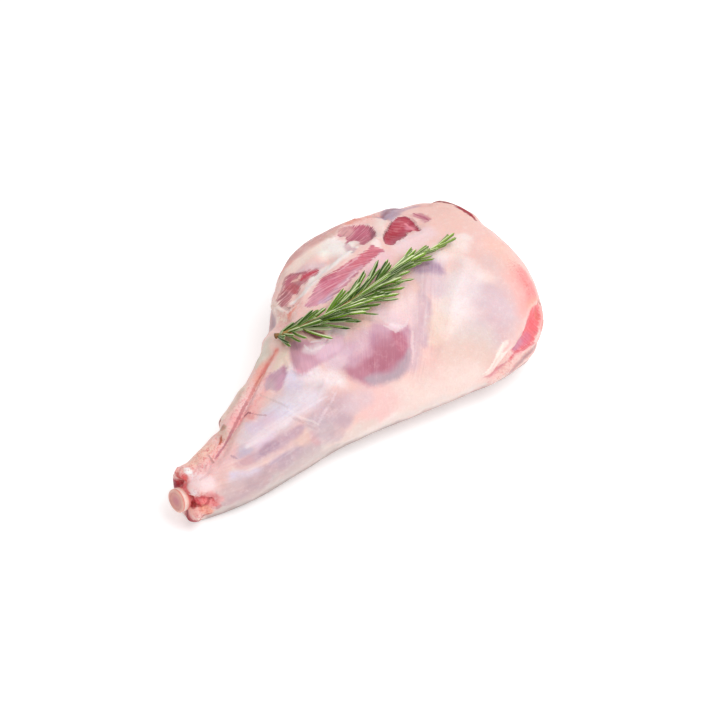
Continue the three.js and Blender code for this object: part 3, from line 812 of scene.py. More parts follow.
    Wash("#ecdcd6", 4, 10, ((-40, 191), (0, 191), (40, 190), (84, 191), (112, 190)), 0.9),
    Wash("#a0908d", 5, 9, (
        (-162, 222), (-144, 222), (-124, 218), (-104, 213), (-84, 210), (-60, 205))),
    Wash("#a99794", 5, 9, ((-66, 205), (-44, 205), (-24, 204), (-4, 201), (20, 201))),
    Wash("#c2a6a2", 4, 8, ((10, 201), (36, 199), (56, 199), (84, 199)), 0.8),
    Wash("#b5918d", 4, 9, ((74, 199), (96, 197), (116, 197), (134, 196)), 0.8),
    # along the far edge: darker pinks and a brown line low on the far wall, partly its colour and partly
    # painted shade where it turns away from the light
    Wash("#e8a49c", 2, 5, ((-8, 26), (0, 31), (8, 37), (18, 37), (32, 34), (46, 34)), 0.8),
    Wash("#a88482", 2.4, 5, ((14, 27), (22, 24), (30, 21), (42, 20), (56, 20), (70, 21)), 0.7),
    Wash("#7a5a57", 2.6, 5, ((-10, 6), (-4, 10), (2, 17), (8, 22), (14, 26))),
    Wash("#d4a29f", 3, 7, ((61, 36), (37, 41), (18, 38), (5, 31)), 0.8),
    # the heel cord and the ankle
    Wash("#fbb9b4", 2.5, 12, ((-73, 71), (-81, 72), (-89, 72), (-97, 82))),
    Wash("#fbbcbb", 2, 10, ((-84, 55), (-93, 58), (-103, 65), (-110, 72)), 0.9),
    Wash("#f8c3c0", 3, 13, ((-150, 97), (-141, 91), (-130, 96))),
    Wash("#f3c6c4", 2, 11, ((-129, 104), (-138, 112), (-146, 117)), 0.8),
    Wash("#fbcbb8", 1, 9, ((-150, 68), (-142, 67), (-134, 68))),
    Wash("#ffd6d4", 2, 7, ((-76, 70), (-84, 65), (-90, 61), (-98, 57)), 0.75),
    Wash("#f2dacb", 2, 11, ((-86, 36), (-95, 36), (-106, 42)), 0.9),
    Wash("#d8bdb0", 0.8, 3, ((-84, 42), (-96, 44), (-106, 48)), 0.7),
    Wash("#dcb9b0", 0.6, 2.5, ((-88, 30), (-100, 32), (-110, 38)), 0.7),
    Wash("#e3d8ca", 1.5, 6, ((-52, 44), (-57, 45), (-62, 47)), 0.8),
    Wash("#f2a898", 1, 7, ((-50, 64), (-56, 57), (-65, 54), (-76, 55))),
    Wash("#e8867e", 0.5, 2.4, ((-49, 65), (-54, 57), (-60, 54.5), (-66, 54), (-72, 54))),
    Wash("#e59a98", 1, 3, ((-100, 71), (-98, 80), (-97, 90)), 0.8),
    Wash("#a4806c", 1.5, 3.5, ((-117, 59), (-119, 50), (-120, 38))),
    Wash("#b0a088", 1.5, 4, ((-118, 56), (-120, 66), (-121, 74)), 0.4),
    Wash("#ffc8c0", 1, 5, ((-163, 67), (-161, 84)), 0.9),
    Wash("#c9645c", 0.8, 2, ((-165, 70), (-164, 74)), 0.9),
    Wash("#fdfbf8", 1.6, 2.2, ((-158, 96), (-157, 87)), 1),
    Wash("#ee6e6a", 1.2, 3, ((-165, 88), (-162, 98), (-160, 106)), 0.95),
    # pale pink and white on the boss by the bone: partly its pale tissue, partly a painted wet highlight
    Wash("#fbe0e2", 2, 6, ((-156, 113), (-152, 126), (-149, 135)), 0.9),
    Wash("#f6ecee", 1.2, 3, ((-164, 136), (-160, 138)), 0.95),
    Wash("#f07c7e", 1, 3, ((-166, 104), (-166, 118), (-165, 130)), 0.95),
    Wash("#d4505a", 1, 3, ((-165, 152), (-162, 162), (-158, 163))),
    Wash("#ec8086", 1, 3, ((-157, 162), (-155, 168)), 0.9),
    Wash("#f28c8c", 1.2, 4.5, ((-156, 169), (-152, 171), (-149, 180))),
    Wash("#f8a8a8", 1.4, 4, ((-150, 158), (-146, 166))),
    Wash("#d9484a", 0.9, 3, ((-162, 169), (-160, 173)), 0.9),
    Wash("#f0a68e", 1.5, 4, ((-157, 178), (-153, 192)), 0.9),
    Wash("#b8505a", 2.5, 5, ((-167, 188), (-165, 197), (-162, 204))),
    Wash("#f0b8ae", 1, 3, ((-165, 178), (-162, 177)), 0.9),
    Wash("#e8cfc6", 1.5, 4, ((-163, 186), (-157, 215)), 0.9),
    Wash("#8a1410", 0.8, 2, ((-166, 164), (-164.5, 167), (-162.5, 170)), 0.95),
    Wash("#8c3038", 2.6, 3.5, ((-166, 218), (-165, 206), (-164, 198)), 0.95),
    Wash("#7a2830", 0.7, 2, ((-167, 184), (-166, 196)), 0.9),
    Wash("#c98c92", 0.8, 2, ((-146, 183), (-147, 187)), 0.8),
    Wash("#8a1238", 1.6, 3, ((-167, 37), (-166, 20), (-166, 0)), 0.95),
    Wash("#c8444a", 1.2, 3, ((-167, 50), (-167, 70), (-167, 100)), 0.95),
    Wash("#e0603c", 0.8, 2, ((-165, -5), (-165, -12)), 0.9),
)

LEAN_WASHES = (
    # the left window
    Wash("#c08a84", 1.5, 4, ((-2, 51), (3, 55)), 0.8),
    Wash("#b8506a", 1.5, 4, ((-8, 46), (-2, 47), (2, 52)), 0.8),
    Wash("#98505c", 1.2, 4, ((-23, 45), (-18, 45.5), (-13, 47))),
    Wash("#a83848", 1, 3, ((-10, 49.5), (-7, 52)), 0.9),
    Wash("#b84a58", 1, 3, ((-9, 55), (-6, 56)), 0.9),
    Wash("#c25768", 1.2, 4, ((5, 58), (14, 62))),
    # the long muscle
    Wash("#d99aae", 2, 6, ((-14, 77), (-9, 80)), 0.9),
    Wash("#c4546e", 1, 4, ((10, 76), (26, 77), (42, 77), (60, 77))),
    Wash("#d890a4", 3, 6, ((-6, 80), (3, 81)), 0.9),
    Wash("#cf6884", 2.5, 6, ((9, 82), (18, 83)), 0.9),
    Wash("#d47488", 2, 7, ((26, 81), (34, 81)), 0.9),
    Wash("#d46478", 3, 6, ((41, 80), (48, 79), (58, 78)), 0.9),
    Wash("#d8a8b8", 0.8, 3, ((0, 86), (14, 86), (28, 85), (42, 83)), 0.9),
    Wash("#d4b4d0", 1, 4, ((-4, 85), (4, 87)), 0.8),
    # the upper, the square and the small window
    Wash("#c2607a", 3, 6, ((68, 51), (72, 56)), 0.9),
    Wash("#d9a7a4", 2, 6, ((57, 46), (60, 49)), 0.9),
    Wash("#8a4658", 0.8, 2.5, ((76, 56), (75, 61), (68, 68)), 0.8),
    Wash("#b03444", 2, 5, ((79, 71), (84, 68), (90, 65)), 0.9),
    Wash("#c0505e", 2, 4, ((94, 64), (102, 60)), 0.9),
    Wash("#b05868", 1.2, 3, ((76, 77), (84, 75), (91, 73)), 0.9),
    Wash("#e090a0", 0.8, 2.4, ((101, 66), (104, 67))),
    Wash("#b86078", 1, 3, ((117, 60), (117.5, 66)), 0.8),
    # the mauve muscle under its fold of membrane
    Wash("#dfa2b4", 2, 6, ((-48, 97), (-44, 101)), 0.9),
    Wash("#c990a4", 2, 6, ((-43, 80), (-47, 84), (-49, 90)), 0.9),
    Wash("#b9849e", 1.5, 4, ((-40, 79), (-38, 84)), 0.9),
    Wash("#ebc5d8", 3, 7, ((-26, 105), (-17, 108), (-10, 109)), 0.9),
    Wash("#eedce4", 1.5, 4, ((-35, 92), (-32, 97), (-27, 99))),
    Wash("#6a1a24", 1, 3, ((-25, 85), (-22, 90)), 0.9),
    Wash("#a8506a", 1.5, 3, ((-20, 94), (-19, 97)), 0.9),
    # the plum muscle
    Wash("#d9a9be", 2.5, 8, ((14, 114), (20, 117), (24, 121)), 0.9),
    Wash("#c990a6", 2, 7, ((20, 125), (31, 126))),
    Wash("#b0607a", 2, 15, ((-4, 132), (4, 133), (12, 133), (18, 134)), 0.95),
    Wash("#c07a90", 2, 6, ((-18, 130), (-13, 133))),
    Wash("#b9607c", 1.5, 6, ((27, 124), (27, 128), (27, 132)), 0.9),
    Wash("#d4a6b8", 1.5, 7, ((-14, 125), (-8, 124), (0, 125)), 0.8),
    Wash("#b3a2ae", 1, 8.5, (
        (-9, 140), (-4, 144), (4, 147), (12, 147.5), (19, 146), (25, 142), (30, 137))),
    # by the shank, and in the cut at the rump
    Wash("#b98098", 0.9, 3, ((-55, 81.5), (-56.5, 86), (-59.5, 89)), 0.9),
    Wash("#cf9ab4", 1.5, 4, ((-66, 90), (-62, 87)), 0.9),
    Wash("#cdb0b8", 1.5, 5, ((-73, 84), (-72, 76)), 0.8),
    Wash("#f4606a", 2, 6, ((138.5, 150), (142, 157), (139, 159)), 0.95),
    Wash("#e0685c", 0.8, 3, ((148, 154), (146.5, 160)), 0.9),
    Wash("#df7088", 1.5, 5, ((127, 167), (130, 166)), 0.9),
    Wash("#cf8ba6", 1.5, 4.5, ((122, 165), (117, 167)), 0.9),
)

WINDOWS = (
    Window("#b8717c", 0.88, 1.2, 2.2, 0.8, 0.6, 10, (
        (-23.5, 44), (-20, 44), (-16, 44.5), (-11.5, 45.5), (-8, 44.5), (-3, 43.5), (-1, 45.5), (3, 50.5),
        (5, 54.5), (9, 56.5), (12.5, 58.5), (16, 60.5), (18, 62.5), (15.5, 64.5), (12, 64.5), (8, 62),
        (4, 61.5), (1, 61), (-2, 58.5), (-5, 58.5), (-9, 58), (-12, 53.5), (-17.5, 52.5), (-21, 52),
        (-23.5, 48.5))),
    Window("#cb6c84", 0.92, 0.8, 1.6, 0.9, 0.3, 16, (
        (-14.5, 75.5), (-12, 76), (-8, 76.5), (-3, 76.5), (1, 76), (6, 75.5), (9, 74), (13, 75), (17, 76.5),
        (21.5, 77.5), (27, 77.5), (32, 77.5), (38, 77.5), (45.5, 77), (51, 76.5), (55, 76), (59, 74.5),
        (61, 74.5), (63, 76.5), (67, 79), (65, 80.5), (61, 80.5), (57, 81.5), (50, 83), (43, 84), (38, 85),
        (33, 86), (27.5, 86.5), (21.5, 87.5), (9.5, 87.5), (5, 88), (-2, 86.5), (-8.5, 83), (-13, 80))),
    Window("#bd6078", 0.93, 0.8, 1.8, 0.8, 1, -18, (
        (60, 44), (66, 47), (71, 48), (75, 50), (78, 57), (75, 63), (69, 69), (65, 70), (61, 71), (56, 72),
        (54, 70), (59, 63), (58, 59), (54, 58), (47, 63), (52, 56), (57, 52), (56, 51), (51, 49),
        (55, 46))),
    Window("#b84a5c", 1, 0.5, 0.8, 0.5, 1.2, 34, (
        (74, 71), (80, 66.5), (86, 62.5), (90, 60.5), (93.5, 59), (98, 56.5), (102, 55.5), (105, 56.5),
        (107, 58), (108, 60.5), (108, 65), (108, 68), (106, 72), (105, 74.5), (102.5, 74), (102.5, 71.5),
        (101, 70), (98, 71.5), (96.5, 70), (91, 74.5), (88, 75), (84, 76.5), (81.5, 76), (78.5, 77.5),
        (75, 78), (72.5, 76.5), (71, 75.5), (72, 73.5))),
    Window("#c77488", 0.75, 1.2, 1.6, 0.9, 0.6, 60, (
        (111, 58.5), (117, 56.5), (120, 58.5), (121, 62), (121, 65), (120.5, 67.5), (116, 69.5), (113, 69),
        (114, 65), (113, 62), (111, 60.5))),
    Window("#cf97ae", 0.85, 2.2, 0.5, 0.25, 0.4, 118, (
        (-41, 75), (-45, 79), (-49, 85), (-51, 91), (-51, 97), (-48, 102), (-42, 105), (-34, 108),
        (-24, 112), (-18, 114), (-12, 113), (-8, 110), (-7, 107), (-11, 104), (-16, 102), (-22, 99),
        (-27, 95), (-31, 87), (-36, 79))),
    Window("#96405a", 0.85, 1.4, 1, 0.4, 0.6, 60, (
        (-26.5, 81), (-22, 87.5), (-18, 93), (-17.5, 97.5), (-21, 97.5), (-25, 93.5), (-26.5, 87.5),
        (-28, 82.5))),
    Window("#c48ba2", 0.88, 3.4, 0.4, 0.22, 0, 124, (
        (-21, 124), (-13, 122), (-3, 124), (4, 122.5), (9, 118.5), (13, 114), (18, 112.5), (23, 115),
        (26, 120), (28, 123), (32, 123.5), (38, 122.5), (41, 122), (39, 127), (34, 132), (31, 137),
        (27.5, 142), (25, 146.5), (20, 149), (15, 150), (9, 149.5), (3, 149), (-4, 147.5), (-10, 144.5),
        (-14, 140), (-19, 134), (-21, 129))),
    Window("#c79aae", 0.9, 1.8, 0.5, 0.3, 0.4, 8, (
        (-63, 75.5), (-59, 78.5), (-54, 80.5), (-54, 85), (-57, 89), (-61, 90.5), (-65.5, 92.5),
        (-70, 91.5), (-72, 89.5), (-73, 84), (-77, 80), (-74.5, 74), (-70, 70.5), (-65.5, 71.5))),
    Window("#ee7078", 0.93, 1.4, 1.2, 0.3, 1, 60, (
        (137, 147), (133, 149.5), (129.5, 151.5), (126.5, 155.5), (125, 160.5), (120, 162.5), (115, 165.5),
        (111.5, 166), (114, 170), (119, 170.5), (124, 171), (129.5, 171.5), (134, 172.5), (139, 168),
        (144, 164), (149, 161), (153, 157), (152, 152), (146, 149), (141, 147))),
    Window("#a02c3c", 0.9, 0.7, 0.8, 0.3, 0.6, 20, (
        (145, 62), (147, 63), (149.5, 68), (150, 73), (151, 78), (149, 79), (147.5, 75), (146.5, 69),
        (145, 65))),
)

THREADS = (
    # the tendon, its vein and the cords of the shank
    Thread("#cf7068", 0.5, 0.7, ((-70, 54), (-76, 54), (-82, 56), (-89.5, 58.5))),
    Thread("#b5646c", 0.65, 0.7, ((-86, 57), (-91, 59), (-96, 61), (-101.5, 64), (-107, 68.5), (-112, 73))),
    Thread("#a5546a", 0.65, 0.65, ((-110, 71), (-114, 75), (-118, 79), (-124, 84), (-127, 86))),
    Thread("#c06a80", 0.7, 0.7, ((-123, 83.5), (-129, 87), (-134, 90))),
    Thread("#9c4c60", 0.7, 0.9, ((-98.5, 74), (-97, 77), (-95.5, 82))),
    Thread("#b88a90", 0.5, 0.5, ((-96, 81), (-95, 84), (-93, 91), (-89, 99))),
    Thread("#a05048", 0.95, 1.1, ((-112, 37.5), (-113.5, 26))),
    Thread("#b8604a", 0.9, 1, ((-123, 73), (-126, 78.5))),
    Thread("#9c666a", 0.5, 0.7, ((-138, 87.5), (-138, 92.5))),
    Thread("#b08a9c", 0.5, 0.5, ((-124.5, 111), (-123.5, 114))),
    Thread("#c4a4a8", 0.35, 0.5, ((-140, 94), (-143, 105), (-146, 112), (-152, 116))),
    Thread("#cdb4b0", 0.3, 0.5, ((-81, 79), (-77.5, 93.5), (-74, 106), (-72, 113))),
    Thread("#f9ece8", 0.28, 0.9, (
        (-74, 110), (-71, 118), (-69, 123.5), (-67, 129), (-64, 134.5), (-60, 140.5), (-57, 146))),
    Thread("#f6e2e8", 0.3, 0.8, ((-55, 146.5), (-49, 143.5), (-44.5, 141.5), (-40, 138.5), (-35, 135))),
    Thread("#f3e4ec", 0.35, 0.8, ((-67, 124.5), (-56.5, 128), (-42, 132))),
    Thread("#c2a4aa", 0.35, 0.7, ((-71, 127), (-67.5, 133), (-64.5, 141), (-61, 147))),
    Thread("#b98f92", 0.8, 0.7, ((-110, 36), (-98, 33), (-88, 32))),
    # the knee and the windows' edges
    Thread("#9a7478", 0.5, 0.7, ((-21.5, 52), (-21, 57), (-19, 64))),
    Thread("#fbeeea", 0.45, 1, ((-27, 36), (-25, 44), (-24.5, 54), (-22.5, 62), (-17, 69))),
    Thread("#a05a66", 0.5, 0.9, ((-20, 43), (-12, 44.5), (-5, 43.5), (-1, 46), (3, 52), (7, 56))),
    Thread("#c04858", 0.85, 1, ((1, 56.5), (8, 59), (15, 62))),
    Thread("#e6b9b0", 0.8, 0.9, ((-4, 51), (0.5, 54.5), (4, 55))),
    Thread("#f3ccd2", 0.7, 0.7, ((16, 86), (24, 85.5), (33, 84.5))),
    Thread("#f0c0c8", 0.6, 0.6, ((24, 79), (34, 78.5), (46, 78))),
    Thread("#6a1828", 0.5, 0.9, ((72, 73.5), (76, 69.5), (80, 66.5), (86, 62.5), (93, 59))),
    Thread("#984858", 0.3, 0.8, ((106, 57), (108.5, 61.5), (108.5, 65), (107.5, 68.5), (105.5, 73.5))),
    Thread("#e8909c", 0.85, 0.9, ((102.5, 63), (104, 67.5), (102.5, 72.5))),
    Thread("#8e3444", 0.6, 0.8, ((84, 76.8), (91, 74.6), (97, 70.5))),
    Thread("#b86078", 0.8, 0.8, ((115, 57), (117.5, 62), (117.5, 68))),
    Thread("#a88088", 0.8, 0.9, ((98, 45), (101, 43), (106, 39.5), (113, 34))),
    Thread("#8e3a42", 0.9, 1.3, ((139, 51), (143, 55), (145.5, 57), (147, 60))),
    Thread("#a8343e", 0.95, 1.6, ((146, 58), (148, 63.5), (149, 68.5), (149, 76))),
    # the plum and mauve muscles' membranes
    Thread("#f6e2e6", 0.5, 1, ((24, 118), (26, 120), (28, 123), (33, 122.5), (39, 122), (44, 119))),
    Thread("#f3dfe4", 0.7, 0.9, ((-34, 90), (-33, 96), (-28, 100), (-24, 101.5), (-18, 103))),
    Thread("#f3e2e8", 0.7, 0.8, ((-28, 93), (-24, 97), (-21, 99), (-15, 100))),
    Thread("#f3d6d6", 0.5, 1, ((40, 128), (35, 133), (32, 139), (29, 144))),
    # the cut at the rump
    Thread("#dc5a66", 0.5, 0.8, (
        (134, 173), (129.5, 172), (124, 171.5), (119, 171), (114, 171), (109, 174))),
    Thread("#e0949c", 0.6, 1.2, ((105, 175), (98, 176.5), (90.5, 176), (84, 177))),
    Thread("#fff6ec", 0.6, 0.9, ((103, 157), (99.5, 160), (93.5, 165), (89, 169), (83, 172.5))),
    Thread("#c07a74", 0.8, 1, ((153, 151), (155.5, 158), (154, 164), (149, 168))),
    # crevices at the cut shank
    Thread("#8a1410", 0.59, 0.9, ((-166.5, 146), (-165, 158), (-163.5, 168), (-161, 172))),
    Thread("#7a1820", 0.56, 0.8, ((-167, 172), (-166.5, 186), (-166, 196))),
    Thread("#a02c34", 0.53, 0.7, ((-160, 172), (-156, 174), (-151, 170))),
    Thread("#b0403c", 0.5, 0.7, ((-162, 190), (-158, 196), (-153, 196))),
)

# where the fibres show through the membrane as streaks
STREAKS = (
    Band(0.45, 6, 10, ((88, 98), (74, 109), (60, 120), (46, 134), (32, 147)), 124),
    Band(0.6, 4, 8, ((48, 48), (58, 44), (68, 38)), -18),
    Band(0.25, 8, 12, ((30, 106), (50, 106), (-4, 106)), 124),
    Band(0.28, 14, 12, ((-120, 104), (-90, 114), (-60, 124)), 17),
    Band(0.28, 12, 12, ((-130, 150), (-90, 154), (-50, 154)), 22),
    Band(0.3, 10, 14, ((0, 30), (40, 32), (70, 26)), 10),
)

# where red specks and small vessels show
RAW_PLACES = (
    Band(0.75, 3, 10, ((-166, 70), (-158, 80), (-150, 84), (-136, 80))),
    Band(0.9, 3, 6, ((-165, 40), (-166, 80), (-165, 110))),
    Band(0.9, 4, 7, ((-163, 150), (-156, 166), (-152, 178), (-160, 190))),
    Band(0.5, 4, 8, ((-134, 78), (-118, 70), (-100, 64), (-84, 56))),
    Band(0.35, 4, 9, ((-70, 60), (-84, 68), (-98, 78))),
    Band(0.45, 4, 9, ((-24, 58), (-20, 66), (-30, 50))),
    Band(0.35, 4, 10, ((60, 42), (80, 40), (92, 44))),
    Band(0.4, 4, 10, ((146, 120), (148, 140), (152, 160), (140, 172), (112, 174), (92, 178))),
)


# ---- Finishes ----


@dataclass(frozen=True)
class RawLamb:
    """Raw lamb: cool white fat and thin wet membrane over muscle.

    The fat is waxy and mottled and the membrane over it shows pale wisps and, where it is raw,
    small red vessels. Where the muscle shows, its fibres run as pale and dark lines, and they
    feather out under the fat at its edge.
    """

    name: str = "raw_lamb"
    fat_highlight: str = "#fff3f0"
    fat_blush: str = "#f0b3b0"
    fat_shade: str = "#dfb3ac"
    wisp_tint: str = "#fff2f0"
    vessel_tint: str = "#cf4256"
    speck_tint: str = "#e0595f"
    streak_tint: str = "#c398a6"
    marbling: str = "#f3c6cc"
    margin: str = "#fff0ee"
    blotch: Pattern = Pattern(14)
    mottle: Pattern = Pattern(4.5, detail=4)
    pebble: Pattern = Pattern(1.5)
    wisp: Pattern = Pattern(13, distortion=1.4)
    vessel: Pattern = Pattern(7, distortion=1)
    speck: Pattern = Pattern(2.2)
    fibre: Pattern = Pattern(1.2, 4, distortion=0.35, along_mm=20)
    band: Pattern = Pattern(2.6, 4, distortion=0.35, along_mm=42)
    ragged: Pattern = Pattern(2.2, detail=2)
    wander: Pattern = Pattern(3, detail=2)
    ragged_reach_mm: float = 1.1
    line_stray_mm: float = 0.16
    roughness_fat: float = 0.46
    roughness_lean: float = 0.36
    ior: float = 1.40
    specular: float = 0.2
    subsurface: float = 0.16
    subsurface_scale_mm: float = 1.6
    coat: float = 0.05
    coat_roughness: float = 0.2

    def make(self) -> bpy.types.Material:
        """Builds the material, which reads what LegFlesh paints on its points."""
        material, tree = new_material(self.name)
        add = partial(add_node, tree)
        noise = add_patterns(tree, self)
        skin, lean, thread = (
            add("Attribute", attribute_name=name) for name in ("skin_tint", "lean_tint", "thread_tint"))
        painted = {name: add("Attribute", output="Fac", attribute_name=name) for name in (
            "lean_depth", "lean_softness", "lean_opacity", "lean_feather", "lean_fibre", "streak", "raw",
            "thread_near", "thread_side", "thread_width", "thread_strength")}
        blotch, mottle, fibre, band = (noise[name] for name in ("blotch", "mottle", "fibre", "band"))
        streak, raw, opacity = painted["streak"], painted["raw"], painted["lean_opacity"]
        # wisps and vessels are thin lines where their noise crosses its middle
        off = [add("Math", {0: noise[name], 1: 0.5}, operation="SUBTRACT") for name in ("wisp", "vessel")]
        wisp, vessel = (add("Math", {0: value}, operation="ABSOLUTE") for value in off)
        wisps = add("MapRange", {"Value": wisp, "From Min": 0.02, "From Max": 0.0})
        fat = lay_colours(
            tree, skin,
            Layer(self.fat_highlight, mottle, 0.5, 0.75, 0.16),
            Layer(self.fat_shade, noise["pebble"], 0.5, 0.72, 0.2),
            Layer(self.fat_blush, blotch, 0.5, 0.72, 0.16),
            # streaks of muscle under it, and pale threads of membrane between them
            Layer(self.streak_tint, band, 0.5, 0.7, 0.5, streak),
            Layer(self.fat_highlight, band, 0.48, 0.3, 0.45, streak),
            Layer(self.wisp_tint, mottle, 0.4, 0.6, 0.2, wisps),
            # raw places
            Layer(self.speck_tint, noise["speck"], 0.5, 0.72, 0.8, raw),
            Layer(self.vessel_tint, vessel, 0.022, 0, 1, raw))

        # muscle: darker and paler fibres over the painted tint, as strong as the window shows them
        dark = add("MapRange", {"Value": fibre, "From Min": 0.32, "From Max": 0.52, "To Min": 0.7,
                                "To Max": 1.05})
        fibrous = add("VectorMath", {0: lean, "Scale": dark}, operation="SCALE")
        fibrous = lay_colours(tree, fibrous, Layer(self.marbling, fibre, 0.53, 0.7, 0.6))
        lean = lay_colours(tree, lean, Layer(fibrous, painted["lean_fibre"]),
                           Layer(self.marbling, mottle, 0.5, 0.75, 0.2))

        # the muscle's edge wanders in small lumps and feathers out along the fibres
        lumps = add("MapRange", {"Value": noise["ragged"], "To Min": -self.ragged_reach_mm,
                                 "To Max": self.ragged_reach_mm})
        feather = add("MapRange", {"Value": fibre, "From Min": 0.25, "From Max": 0.75, "To Min": 1.0,
                                   "To Max": -1.0})
        strayed = add("Math", {0: feather, 1: painted["lean_feather"], 2: lumps}, operation="MULTIPLY_ADD")
        reached = add("Math", {0: painted["lean_depth"], 1: strayed}, operation="ADD")
        inside = add("Math", {0: reached, 1: painted["lean_softness"]}, operation="DIVIDE")
        shown, beside = (
            add("MapRange", {"Value": inside, "From Min": low, "From Max": high},
                interpolation_type="SMOOTHSTEP") for low, high in ((-1.0, 1.0), (-3.0, -0.8)))
        mask = add("Math", {0: shown, 1: opacity}, operation="MULTIPLY")

        # crisp thin lines over both
        stray = add("MapRange", {"Value": noise["wander"], "From Min": 0.2, "From Max": 0.8,
                                 "To Min": -self.line_stray_mm, "To Max": self.line_stray_mm})
        aside = add("Math", {0: painted["thread_side"], 1: stray}, operation="ADD")
        away = add("Math", {0: aside}, operation="ABSOLUTE")
        spread = add("Math", {0: away, 1: painted["thread_width"]}, operation="DIVIDE")
        close = add("MapRange", {"Value": painted["thread_near"], "From Min": 1.8, "From Max": 1.0})
        drawn = add("Math", {0: close, 1: painted["thread_strength"]}, operation="MULTIPLY")
        colour = lay_colours(
            tree, fat, Layer(self.margin, opacity, 0.89, 0.95, 0.3, beside), Layer(lean, mask),
            Layer(thread, spread, 1, 0.2, 1, drawn, eased=True))

        gloss = add("MapRange", {"Value": mask, "To Min": self.roughness_fat, "To Max": self.roughness_lean})
        damp = add("MapRange", {"Value": blotch, "From Min": 0.3, "From Max": 0.7, "To Min": -0.06,
                                "To Max": 0.08})
        fat_height = add("Math", {0: mottle, 1: 0.6, 2: noise["pebble"]}, operation="MULTIPLY_ADD")
        height = add("Mix", {0: mask, 2: fat_height, 3: fibre}, data_type="FLOAT")
        add_surface(tree, height, 0.6, 0.7, {
            "Base Color": colour, "Roughness": add("Math", {0: gloss, 1: damp}, operation="ADD"),
            "IOR": self.ior, "Specular IOR Level": self.specular, "Subsurface Weight": self.subsurface,
            "Subsurface Radius": (1.0, 0.42, 0.28), "Subsurface Scale": self.subsurface_scale_mm * MM,
            "Coat Weight": self.coat, "Coat Roughness": self.coat_roughness})
        return material


@dataclass(frozen=True)
class SawnBone:
    """Fresh sawn bone: a matt pink marrow face, a peach rim and a white collar of gristle."""

    name: str = "sawn_bone"
    pore: Pattern = Pattern(0.9, detail=4, roughness=0.7)
    patch: Pattern = Pattern(4, roughness=0.5)
    pore_shadow: str = "#c27a74"
    roughness: float = 0.42
    ior: float = 1.5

    def make(self) -> bpy.types.Material:
        """Builds the material, which reads the tint painted along the bone."""
        material, tree = new_material(self.name)
        noise = add_patterns(tree, self)
        tint = add_node(tree, "Attribute", attribute_name="bone_tint")
        pores, patches = (
            add_node(tree, "MapRange", {
                "Value": noise[name], "From Min": low, "From Max": 0.75, "To Max": strength})
            for name, low, strength in (("pore", 0.5, 0.5), ("patch", 0.45, 0.35)))
        share = add_node(tree, "Math", {0: pores, 1: patches}, operation="MAXIMUM")
        add_surface(tree, noise["pore"], 0.5, 0.3, {
            "Base Color": lay_colours(tree, tint, Layer(self.pore_shadow, share)),
            "Roughness": self.roughness, "IOR": self.ior, "Subsurface Weight": 0.2,
            "Subsurface Radius": (1.0, 0.5, 0.35), "Subsurface Scale": 1.5 * MM, "Coat Weight": 0.15,
            "Coat Roughness": 0.3})
        return material


@dataclass(frozen=True)
class RosemaryLeaf:
    """A rosemary needle: waxy green, felted below, with painted shade down its middle and one side and a
    painted wet highlight.
    """

    name: str = "rosemary_leaf"
    deep: str = "#2a5600"
    bright: str = "#a4da30"
    young: str = "#c2e258"
    # painted shade, for the middle of each needle and its darker side
    shade_green: str = "#143006"
    # painted highlight along one side of each needle
    sheen: str = "#fafdd2"
    felt: str = "#b9c49a"
    fleck: Pattern = Pattern(3.5, roughness=0.6)
    roughness: float = 0.42
    ior: float = 1.3

    def make(self) -> bpy.types.Material:
        """Builds the material, which reads each needle's age, tone, width and face."""
        material, tree = new_material(self.name)
        flecks = add_patterns(tree, self)["fleck"]
        age, across, face, tone = (add_node(tree, "Attribute", output="Fac", attribute_name=name)
                                   for name in ("age", "across", "face", "tone"))
        middle = add_node(tree, "Math", {0: across}, operation="ABSOLUTE")
        shoulder = add_node(tree, "Math", {0: across, 1: 0.5, 2: 0.38}, operation="COMPARE")
        shine = add_node(tree, "MapRange", {"Value": tone, "To Min": 0.4})
        gleam = add_node(tree, "Math", {0: shoulder, 1: shine}, operation="MULTIPLY")
        # painted shade darkens the middle and one side, and a painted highlight lies on the other side in
        # patches
        colour = lay_colours(
            tree, linear(self.deep), Layer(self.bright, tone), Layer(self.young, age),
            Layer(self.shade_green, middle, 0.3, 0, 0.75, eased=True), Layer(self.shade_green, across, 0, -0.9, 0.8),
            Layer(self.sheen, flecks, 0.26, 0.42, 1, gleam), Layer(self.felt, face))
        add_surface(tree, flecks, 0.3, 0.2, {
            "Base Color": colour, "Roughness": self.roughness, "IOR": self.ior})
        return material


@dataclass(frozen=True)
class RosemaryBark:
    """Young rosemary wood: tan, fibrous bark that greens up the stem and is brown at the cut end."""

    name: str = "rosemary_bark"
    tan: str = "#c79a5c"
    brown: str = "#7a4f2b"
    green: str = "#9bb06a"
    fibre: Pattern = Pattern(0.5, roughness=0.5, along_mm=2.5)
    roughness: float = 0.6

    def make(self) -> bpy.types.Material:
        """Builds the material, which reads how far up the stem a point is."""
        material, tree = new_material(self.name)
        bark = add_patterns(tree, self)["fibre"]
        climb = add_node(tree, "Attribute", output="Fac", attribute_name="climb")
        browning = add_node(tree, "MapRange", {
            "Value": climb, "From Min": 0.05, "From Max": 0.0, "To Min": 0.15, "To Max": 0.9})
        lines = add_node(tree, "MapRange", {
            "Value": bark, "From Min": 0.45, "From Max": 0.7, "To Max": 0.5})
        share = add_node(tree, "Math", {0: browning, 1: lines}, operation="MAXIMUM")
        colour = lay_colours(
            tree, linear(self.tan), Layer(self.green, climb, 0.35, 0.55), Layer(self.brown, share))
        add_surface(tree, bark, 0.6, 0.25, {"Base Color": colour, "Roughness": self.roughness})
        return material


# ---- The flesh ----


class Sway(NamedTuple):
    """One scale of the bends in a wash's edge."""

    seeds: tuple[int, int, int]
    cell: float
    share: float  # how far the edge strays, as a share of the wash's size
    most: float


